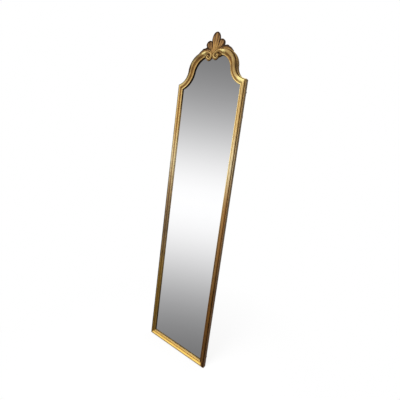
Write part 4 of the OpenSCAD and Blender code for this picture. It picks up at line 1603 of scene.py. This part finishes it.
@dataclass
class Crest:
    """The carved shell of three lobes, and the leaf on each side of it, in millimetres."""

    carving: bpy.types.Material
    shade: bpy.types.Material
    grower: MouldingGrower
    plan: Plan = PLAN
    height: float = 112.0
    lobe_w: float = 24.0
    lobe_z: float = 74.0
    side_r: float = 20.0
    side: Point = (38.0, 50.0)
    front: float = 13.0
    rake: float = 8.0
    rays: int = 420
    bands: int = 56
    flutes: float = 48.0
    flute_drop: float = 62.0
    flute_rise: float = 1.0
    flute_gleam: float = 0.30
    fold_w: float = 2.6
    fold_cut: float = 3.0
    fold_glaze: float = 0.65
    rib_w: float = 3.0
    rib_rise: float = 2.2
    rib_gleam: float = 0.22
    stem_gleam: float = 0.32
    left_glaze: float = 0.16
    side_deg: float = 49.0
    foot_deg: float = 12.0
    leaf_h: float = 28.0
    leaf_tip: float = 3.0
    leaf_sink: float = 3.0
    leaf_scallop: float = 0.10
    leaf_t: float = 15.0
    leaf_root: float = 4.5
    leaf_span: float = 0.4
    leaf_rings: int = 61
    leaf_shape: tuple[Triple, ...] = (
        (0.0, 2.5, 0.95), (0.12, 1.2, 0.35), (0.3, 0.2, 0.1), (0.42, 0.9, 0.6), (0.6, 0.1, 0.95),
        (0.78, 0.9, 1.0), (0.9, 1.6, 1.0), (0.97, 3.4, 1.0), (1.0, 6.0, 1.0))

    @staticmethod
    def leave(centre: Point, rx: float, rz: float, angle: float, blunt: float = 2.0) -> float:
        """Finds how far a ray from the seat's middle runs before it leaves an oval.

        Args:
            centre: The oval's centre.
            rx: Half its width.
            rz: Half its height.
            angle: The ray's angle in degrees.
            blunt: Its power: 2 for an ellipse, more for a blunter oval.

        Returns:
            The distance, 0 for a ray that misses it.
        """
        ux, uz = polar((0.0, 0.0), 1.0, angle)

        def level(far: float) -> float:
            """Returns less than 1 inside the oval and more outside."""
            return (abs((far * ux - centre[0]) / rx) ** blunt
                    + abs((far * uz - centre[1]) / rz) ** blunt)

        near, far = max(0.0, centre[0] * ux + centre[1] * uz), 160.0
        if level(near) > 1:
            return 0.0
        for _ in range(40):
            half = (near + far) / 2
            near, far = (half, far) if level(half) <= 1 else (near, half)
        return near

    def reach(self, angle: float) -> tuple[float, int]:
        """Finds the outline at an angle.

        Args:
            angle: Degrees up from the right end of the seat.

        Returns:
            The distance from the seat's middle, and the lobe there: 0 the middle one, 1 and -1 the
            side ones, 2 the foot.
        """
        half = self.plan.crown_x - 0.5
        skirt = self.side[1] - 0.6 * self.side_r
        turn = math.radians(angle)
        slope = abs(math.tan(turn)) if abs(angle - 90) > 1e-6 else 1e9
        flat = half / abs(math.cos(turn)) if slope < skirt / half else 0.0
        found = [
            (self.leave((0.0, 0.0), half, skirt + self.side_r, angle), 2), (flat, 2),
            (self.leave((0.0, self.lobe_z), self.lobe_w, self.height - self.lobe_z, angle, 2.1), 0)]
        found += [(self.leave((lobe * self.side[0], self.side[1]), self.side_r, self.side_r, angle),
                   lobe) for lobe in (1, -1)]
        return max(found)

    def folds(self) -> list[float]:
        """Returns the angles at which one lobe gives way to the next."""
        angles = [step / 10 for step in range(1801)]
        lobes = [self.reach(angle)[1] for angle in angles]
        return [angle for angle, last, lobe in zip(angles[1:], lobes, lobes[1:]) if lobe != last]

    def carve(self, angle: float, share: float, edge: float, lobe: int,
              folds: Sequence[float]) -> tuple[float, float]:
        """Shapes the front of the shell.

        Args:
            angle: Degrees up from the right end of the seat.
            share: Place on the ray, 0 at the seat's middle and 1 at the outline.
            edge: Length of the ray.
            lobe: Lobe at the ray's end.
            folds: Angles of the folds between lobes.

        Returns:
            Depth in millimetres, and the share of dark glaze.
        """
        radius = share * edge
        x, height = polar((0.0, 0.0), radius, angle)
        depth = self.front + self.rake * height / self.height
        dark = 0.34
        rim_in = edge - radius
        # a rolled rim, with a hollow inside it
        rim = math.exp(-((rim_in - 2.6) / 2.1) ** 2) if radius > 12 else 0.0
        hollow = smooth(share, 0.22, 0.6) * smooth(rim_in, 3.0, 11.0)
        depth += 3.4 * hollow - 1.5 * rim + 2.6 * smooth(1.6 - rim_in, 0.0, 1.6)
        dark += 0.60 * smooth(9.5 - rim_in, 0.0, 6.0) + 0.16 * smooth(share, 0.35, 0.8)
        # folds between the lobes; the two inner ones fall nearly straight to the seat
        for fold in folds:
            fold_x, fold_z = polar((0.0, 0.0), self.reach(fold)[0], fold)
            if abs(fold_x) < 40:
                away = abs(x - fold_x * mix(0.62, 1.0, min(1.0, height / fold_z)))
                shown = smooth(height, 4.0, 24.0) * smooth(fold_z + 4 - height, 0.0, 8.0)
            else:
                away = radius * math.radians(abs(angle - fold))
                shown = smooth(share, 0.3, 0.6)
            cut = math.exp(-(away / self.fold_w) ** 2) * shown
            depth += self.fold_cut * cut
            dark += self.fold_glaze * cut
        # a rib up the middle of each lobe
        foot = self.foot_deg if angle < 90 else 180 - self.foot_deg
        centres = {0: 90.0, 1: self.side_deg, -1: 180 - self.side_deg, 2: foot}
        off = radius * math.radians(angle - centres[lobe])
        rib = (math.exp(-(off / self.rib_w) ** 2) * smooth(share, 0.04, 0.2)
               * smooth(1.0 - share, 0.16, 0.5))
        depth -= self.rib_rise * rib
        dark -= self.rib_gleam * rib
        # the stem under the middle lobe is the brightest part, and the left lobe is the darkest
        stem = smooth(24 - abs(x), 0.0, 8.0) * smooth(72 - height, 0.0, 40.0)
        dark -= self.stem_gleam * stem - (self.left_glaze if lobe == -1 else 0.0)
        # finer flutes that rise from below the seat
        fan = math.degrees(math.atan2(x, height + self.flute_drop)) * self.flutes
        flute = ((math.cos(math.radians(fan)) + 0.3 * math.cos(math.radians(fan * 3)))
                 * smooth(radius, 4.0, 14.0) * smooth(rim_in, 3.0, 12.0))
        glaze = min(1.0, max(0.0, dark - self.flute_gleam * flute))
        return depth - self.flute_rise * flute, glaze

    def build(self) -> None:
        """Builds the shell and the leaves."""
        self.shell()
        self.leaves()

    def shell(self) -> None:
        """Builds the shell: its carved front, its edge and its flat back."""
        base = self.plan.shoulder_h + self.plan.seat_z
        folds = self.folds()
        rays, bands = self.rays, self.bands
        angles = [180 * i / rays for i in range(rays + 1)]
        corners = [(row(0.0, self.front, base), {Zone.HOLLOW: 0.3})]
        for angle in angles:
            edge, lobe = self.reach(angle)
            for j in range(1, bands + 1):
                share = (j / bands) ** 0.9
                depth, glaze = self.carve(angle, share, edge, lobe, folds)
                x, z = polar((0.0, base), edge * share, angle)
                corners.append((row(x, depth, z), {Zone.HOLLOW: glaze}))
        start_back = len(corners)
        backs = [(self.front + 4.0, 1.0, 0.0, {Zone.HOLLOW: 0.9}),
                 (self.plan.depth - 1.2, 0.0, 0.0, {Zone.HOLLOW: 1.0}),
                 (self.plan.depth, 0.0, 0.8, {Zone.HOLLOW: 0.6, Zone.BARE: 1.0})]
        for angle in angles:
            edge = self.reach(angle)[0]
            rise = math.sin(math.radians(angle))
            for depth, leans, inset, marks in backs:
                x, z = polar((0.0, base), edge - inset * rise, angle)
                lean = self.rake * edge * rise / self.height * leans
                corners.append((row(x, depth + lean, z), marks))
        heel, last = len(corners), len(backs) - 1
        corners.append((row(0.0, self.plan.depth, base), {Zone.HOLLOW: 0.6, Zone.BARE: 1.0}))

        def front(i: int, j: int) -> int:
            """Number of a corner on the front."""
            return 0 if j == 0 else 1 + i * bands + j - 1

        def behind(i: int, k: int) -> int:
            """Number of a corner on the edge or the back."""
            return front(i, bands) if k < 0 else start_back + i * len(backs) + k

        faces = []
        for i in range(rays):
            faces.append((0, front(i, 1), front(i + 1, 1)))
            for number, steps in ((front, range(1, bands)), (behind, range(-1, last))):
                faces += [(number(i, k), number(i, k + 1), number(i + 1, k + 1), number(i + 1, k))
                          for k in steps]
            faces.append((behind(i, last), heel, behind(i + 1, last)))
        mesh = Bench.carved("crest_shell", corners, faces, 60.0)
        mesh.materials.append(self.carving)
        place("crest_shell", "carved", "gilt_carving", mesh)

    def leaves(self) -> None:
        """Builds the leaf that lies on each arch beside the shell."""
        plan = self.plan
        inner, outer, lifts = [], [], []
        root = self.leaf_root / plan.arch_r
        for share in evenly(self.leaf_rings):
            t = 1 - self.leaf_span * share + root * (1 - share) ** 6
            foot, sight = plan.arch(t, True), plan.arch(t, False)
            far = math.dist(foot, sight)
            up = ((foot[0] - sight[0]) / far, (foot[1] - sight[1]) / far)
            scallop = 1.0 + self.leaf_scallop * math.cos(share * 6 * math.pi) * (1 - share)
            tall = mix(self.leaf_h, self.leaf_tip, share ** 1.15) * (scallop if 0 < share < 1 else 1.0)
            inner.append((foot[0], foot[1] + plan.shoulder_h))
            outer.append((foot[0] + tall * up[0], foot[1] + tall * up[1] + plan.shoulder_h))
            lifts.append(-self.leaf_sink * share)
        width = plan.mould_w
        top = plan.depth - self.leaf_t
        profile = [SectionPoint(width * u, top + y, lift=1.0, marks={Zone.HOLLOW: dark})
                   for u, y, dark in self.leaf_shape]
        profile += [SectionPoint(width, plan.depth - 1.0, marks={Zone.OCHRE: 0.6, Zone.HOLLOW: 1.0}),
                    SectionPoint(width * 0.97, plan.depth, marks={Zone.BARE: 1.0}),
                    SectionPoint(0.0, plan.depth, marks={Zone.BARE: 1.0})]
        place_pair("crest_leaf", "carved", "gilt_carving", self.grower.sweep(
            "right_crest_leaf", inner, outer, profile, self.shade, lifts))


@dataclass
class GlassAndBack:
    """The silvered glass and the hardware: the screws in the board behind it and in the hangers, and
    the wall bumpers, in millimetres.
    """

    copier: Copier
    plan: Plan = PLAN
    glass_lap: float = 7.0
    silver_depth: float = 0.3
    glass_t: float = 4.0
    board_back: float = 30.4
    screw_r: float = 1.5
    head_r: float = 2.9
    screw_l: float = 18.0
    screw_sides: int = 20
    apron_xs: tuple[float, ...] = (44.8, 39.0, 28.0)
    dome: float = 0.75
    slot_half_w: float = 0.36
    rail_screws: tuple[float, ...] = (-130.0, 0.0, 130.0)
    stile_screws: int = 6
    stile_margin: float = 100.0
    hinge: Point = (216.0, 1480.0)
    strap_drops: tuple[float, ...] = (27.0, 39.0)
    bumper_x: float = 217.75
    bumper_zs: tuple[float, ...] = (60.0, 1597.0)
    bumper_sides: int = 40
    bumper_profile: tuple[Point, ...] = (
        (6.1, 0.0), (6.5, 0.5), (6.5, 4.9), (6.3, 5.8), (5.7, 6.35), (4.8, 6.5), (2.0, 6.5),
        (1.6, 6.3), (1.3, 5.6), (0.01, 5.5))

    def outline(self, u: float, cove: int = 24, arch: int = 40) -> list[Point]:
        """Draws the sight line set outwards, all the way round.

        Args:
            u: How far outwards.
            cove: Steps along each cove.
            arch: Steps along each arch.

        Returns:
            Its points, with height above the floor.
        """
        plan = self.plan
        line = [plan.outwards(plan.cove, i / cove, u) for i in range(cove + 1)]
        line += [plan.outwards(plan.arch, i / arch, u) for i in range(1, arch + 1)]
        side_x = plan.in_x + u
        slope = plan.shoulder_drop / plan.mould_w
        line = [(side_x, -plan.shoulder_drop + u * slope)] + [p for p in line if p[0] < side_x - 0.01]
        line += [(x, plan.apron(x) + u) for x in self.apron_xs]
        right = [(side_x, plan.mould_w - u)] + [(x, z + plan.shoulder_h) for x, z in line]
        return right + [(-x, z) for x, z in reversed(right)]

    def glass(self, silver: bpy.types.Material) -> None:
        """Makes the mirror glass; its silver lies where clear glass makes it seem to lie.

        Args:
            silver: The finish.
        """
        line = self.outline(self.glass_lap)
        count = len(line)
        points = [row(x, self.plan.glass_y + y, z) for y in (self.silver_depth, self.glass_t)
                  for x, z in line]
        faces = [tuple(range(count)), tuple(range(2 * count - 1, count - 1, -1))]
        faces += Bench.tube(2, count)
        mesh = Bench.mesh("mirror_glass", points, faces)
        Bench.finish(mesh, 20.0)
        mesh.materials.append(silver)
        place("mirror_glass", "silvered", "silvered_glass", mesh)

    def screw(self) -> bpy.types.Mesh:
        """Draws one countersunk screw round the Y axis, its head at depth 0.

        Returns:
            The closed mesh, in metres.
        """
        neck = self.head_r - self.screw_r
        profile = [(0.01, 0.75), (0.9, 0.72), (2.0, 0.55), (self.head_r - 0.25, 0.18),
                   (self.head_r, 0.0), (self.head_r, -0.15), (self.screw_r, -neck - 0.15)]
        thread = -neck - 0.5
        while thread > -self.screw_l + 3:
            profile += [(self.screw_r, thread), (self.screw_r * 0.78, thread - 0.5)]
            thread -= 1.0
        profile += [(self.screw_r * 0.9, -self.screw_l + 2), (0.2, -self.screw_l)]
        points = []
        for radius, high in profile:
            for x, y, z in Bench.ring(radius, high, self.screw_sides):
                if high > 0.1:
                    # the head is sunk by its dome, and its slot by as much again
                    y -= self.dome * (2 if abs(z) < self.slot_half_w else 1)
                points.append(Vector((x, y, z)) / 1000)
        mesh = Bench.mesh("screw", points, Bench.tube(len(profile), self.screw_sides))
        Bench.finish(mesh, 30.0, 1e-7)
        return mesh

    def screws(self, brass: bpy.types.Material) -> None:
        """Sets the backboard's screws and the hangers' screws.

        Args:
            brass: The finish.
        """
        plan = self.plan
        u = plan.rebate_w + (plan.board_u - plan.rebate_w) / 2
        right = [(plan.in_x + u, mix(self.stile_margin, plan.shoulder_h - self.stile_margin, s))
                 for s in evenly(self.stile_screws)]
        for share, curve in ((0.55, plan.cove), (0.3, plan.arch), (0.75, plan.arch)):
            x, z = plan.outwards(curve, share, u)
            right.append((x, z + plan.shoulder_h))
        sites = right + [(-x, z) for x, z in right]
        sites += [(x, plan.mould_w - u) for x in self.rail_screws]
        sites.append((0.0, plan.shoulder_h + plan.apron(0.0) + u))
        board = [row(x, self.board_back, z) for x, z in sites]
        strap = [row(side * self.hinge[0], plan.depth + 1.0, self.hinge[1] - drop)
                 for side in (-1, 1) for drop in self.strap_drops]
        for name, spots, seed in (("backboard_screws", board, 11), ("hanger_screws", strap, 5)):
            mesh = self.copier.copies(name, spots, self.screw(), brass, math.tau, seed)
            place(name, "brass", "screw_brass", mesh)

    def bumpers(self, rubber: bpy.types.Material) -> None:
        """Sets the four wall bumpers: flat domes with a soft edge and a dimple.

        Args:
            rubber: The finish.
        """
        profile, sides = self.bumper_profile, self.bumper_sides
        points = [Vector(spot) / 1000 for radius, high in profile
                  for spot in Bench.ring(radius, high, sides)]
        mesh = Bench.mesh("bumper", points, Bench.tube(len(profile), sides, True))
        Bench.finish(mesh, 40.0, 1e-7)
        spots = [row(side * self.bumper_x, self.plan.depth, z) for side in (-1, 1)
                 for z in self.bumper_zs]
        place("wall_bumpers", "rubber", "bumper_rubber",
              self.copier.copies("wall_bumpers", spots, mesh, rubber))


@dataclass
class CarriedOver:
    """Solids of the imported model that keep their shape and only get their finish."""

    finishes: dict[str, bpy.types.Material]

    def dress(self) -> None:
        """Dresses each solid."""
        for name, material in self.finishes.items():
            Bench.dress(frame["nodes"][name], material)
            log.info("%s: %s", name, material.name)


@dataclass(frozen=True)
class Lamp:
    """A soft square lamp: where it hangs and points, its side in metres and its power in watts."""

    name: str
    spot: Triple
    aim: Triple
    size: float
    power: float

    def hang(self) -> None:
        """Hangs the lamp."""
        data = bpy.data.lights.new(self.name, "AREA")
        data.size = self.size
        data.energy = self.power
        made = Bench.add(self.name, data)
        made.location = self.spot
        made.rotation_euler = (Vector(self.aim) - Vector(self.spot)).to_track_quat("-Z", "Y").to_euler()
        # the glass would show the lamps as white squares
        made.visible_glossy = False


@dataclass
class Studio:
    """The pale room, the lamps and the camera that stand where the photo was taken from."""

    lens: float = 22.5
    sensor: float = 36.0
    eye: Triple = (0.86301, -1.19494, 1.21514)
    turn: Triple = (1.61665951, 0.62470547, -0.35024005)
    floor_size: float = 9.0
    lamps: tuple[Lamp, ...] = (
        Lamp("key", (-0.15, -1.6, 3.6), (0.0, 0.0, 1.0), 1.0, 64.0),
        Lamp("low_fill", (0.2, -1.1, 1.3), (0.0, 0.0, 0.05), 0.5, 9.0),
        Lamp("foot_fill", (0.05, -0.6, 0.25), (0.0, 0.0, 0.02), 0.2, 1.0),
        Lamp("back_fill", (0.6, 2.5, 2.5), (0.0, 0.0, 1.0), 1.5, 40.0))

    def build(self) -> None:
        """Sets the stage."""
        self.floor()
        self.world()
        for lamp in self.lamps:
            lamp.hang()
        self.camera()
        bpy.context.scene.view_settings.view_transform = "Standard"

    def floor(self) -> None:
        """Lays a floor that looks white and keeps a soft shadow round the mirror's foot."""
        size = self.floor_size
        made = Bench.add("floor", Bench.mesh("floor", [
            (-size, -size, 0), (size, -size, 0), (size, size, 0), (-size, size, 0)], [(0, 1, 2, 3)]))
        tree = Paint("pale_floor")
        eye, gloss = self._rays(tree)
        away = tree.maths("SQRT", tree.x ** 2 + tree.y ** 2)
        near = 1.0 - away.rise(0.15, 1.1)
        colour = tree.blend((0.5, 0.5, 0.5, 1.0), (0.97, 0.97, 0.97, 1.0), eye)
        tree.set(Base_Color=colour, Roughness=0.9, Specular_IOR_Level=0.0)
        glow = tree.node("ShaderNodeEmission", None, {"Color": (1, 1, 1, 1), "Strength": 1.0})
        white = (gloss + eye * (1.0 - near * 0.14)).clamped()
        both = tree.node("ShaderNodeMixShader", None,
                         {0: white, 1: tree.shader.outputs[0], 2: glow.outputs[0]})
        out = next(n for n in tree.nodes if n.type == "OUTPUT_MATERIAL")
        tree.links.new(both.outputs[0], out.inputs["Surface"])
        Bench.dress(made, tree.material)

    @staticmethod
    def _rays(tree: Tree) -> tuple[Reckoned, Reckoned]:
        """Returns 1 for the camera's rays, and 1 for those from gloss and through glass."""
        path = tree.node("ShaderNodeLightPath")
        eye, gloss, clear = (Reckoned(tree, path.outputs[name])
                             for name in ("Is Camera Ray", "Is Glossy Ray", "Is Transmission Ray"))
        return eye, (gloss + clear).clamped()

    def world(self) -> None:
        """Makes the room white to look at and softer as a light."""
        world = bpy.data.worlds.new("pale_room")
        world.use_nodes = True
        bpy.context.scene.world = world
        tree = Tree(world.node_tree)
        tree.nodes.clear()
        eye, gloss = self._rays(tree)
        light, white = (tree.node("ShaderNodeBackground", None, {"Color": colour, "Strength": strength})
                        for colour, strength in (((0.98, 0.98, 1.0, 1.0), 0.34), ((1, 1, 1, 1), 1.0)))
        both = tree.node("ShaderNodeMixShader", None,
                         {0: (eye + gloss).clamped(), 1: light.outputs[0], 2: white.outputs[0]})
        tree.node("ShaderNodeOutputWorld", None, {"Surface": both.outputs[0]})

    def camera(self) -> None:
        """Stands the camera where the photo's own camera stood."""
        data = bpy.data.cameras.new("camera")
        data.sensor_width = self.sensor
        data.lens = self.lens
        data.clip_start = 0.01
        made = Bench.add("camera", data)
        axis = Vector(self.turn)
        seen = Matrix.Rotation(axis.length, 3, axis.normalized())
        back = seen.transposed() @ Matrix.Diagonal((1, -1, -1))
        made.matrix_world = Matrix.Translation(Vector(self.eye)) @ back.to_4x4()
        bpy.context.scene.camera = made


def main() -> None:
    """Builds the mirror's looks, piece by piece, and the studio round it."""
    logging.basicConfig(level=logging.INFO, format="%(name)s: %(message)s")
    gold = GoldLeaf().make()
    carving = GoldLeaf(name="gold_leaf_glazed", bright=srgb(228, 184, 102), plain=srgb(180, 138, 80),
                       amber=srgb(142, 104, 62), glaze=srgb(60, 42, 29), clay=srgb(130, 88, 62),
                       red=0.25).make()
    shade = GoldLeaf(name="gold_leaf_dark", bright=srgb(206, 160, 84), plain=srgb(166, 124, 66),
                     amber=srgb(124, 90, 48), glaze=srgb(36, 25, 16), clay=srgb(96, 66, 44),
                     ochre=srgb(60, 44, 28)).make()
    grower, copier = MouldingGrower(), Copier()
    Woodwork(gold, grower).build()
    Scrolls(gold).build()
    Crest(carving, shade, grower).build()
    back = GlassAndBack(copier)
    back.glass(SilveredGlass().make())
    back.screws(AgedBrass("screw_brass").make())
    back.bumpers(Soft("bumper_rubber", srgb(30, 30, 30), srgb(58, 58, 58), 500.0, 0.6).make())
    bare = Timber("bare_wood").make()
    brass = AgedBrass("hanger_brass", srgb(214, 180, 110)).make()
    CarriedOver({
        "corner_keys": Timber("painted_key", srgb(112, 88, 52), srgb(78, 58, 34)).make(),
        "shoulder_dowels": bare, "waist_dowels": bare, "crown_dowels": bare,
        "crest_dowels": bare, "glass_packers": bare,
        "backboard": Timber("backboard_wood", srgb(168, 126, 82), srgb(104, 70, 42),
                            (60.0, 60.0, 3.0)).make(),
        "backing_sheet": Soft("dark_felt").make(),
        "left_hanger_strap": brass, "right_hanger_strap": brass,
        "left_hanger_ring": brass, "right_hanger_ring": brass,
    }).dress()
    Studio().build()


if __name__ == "__main__":
    main()
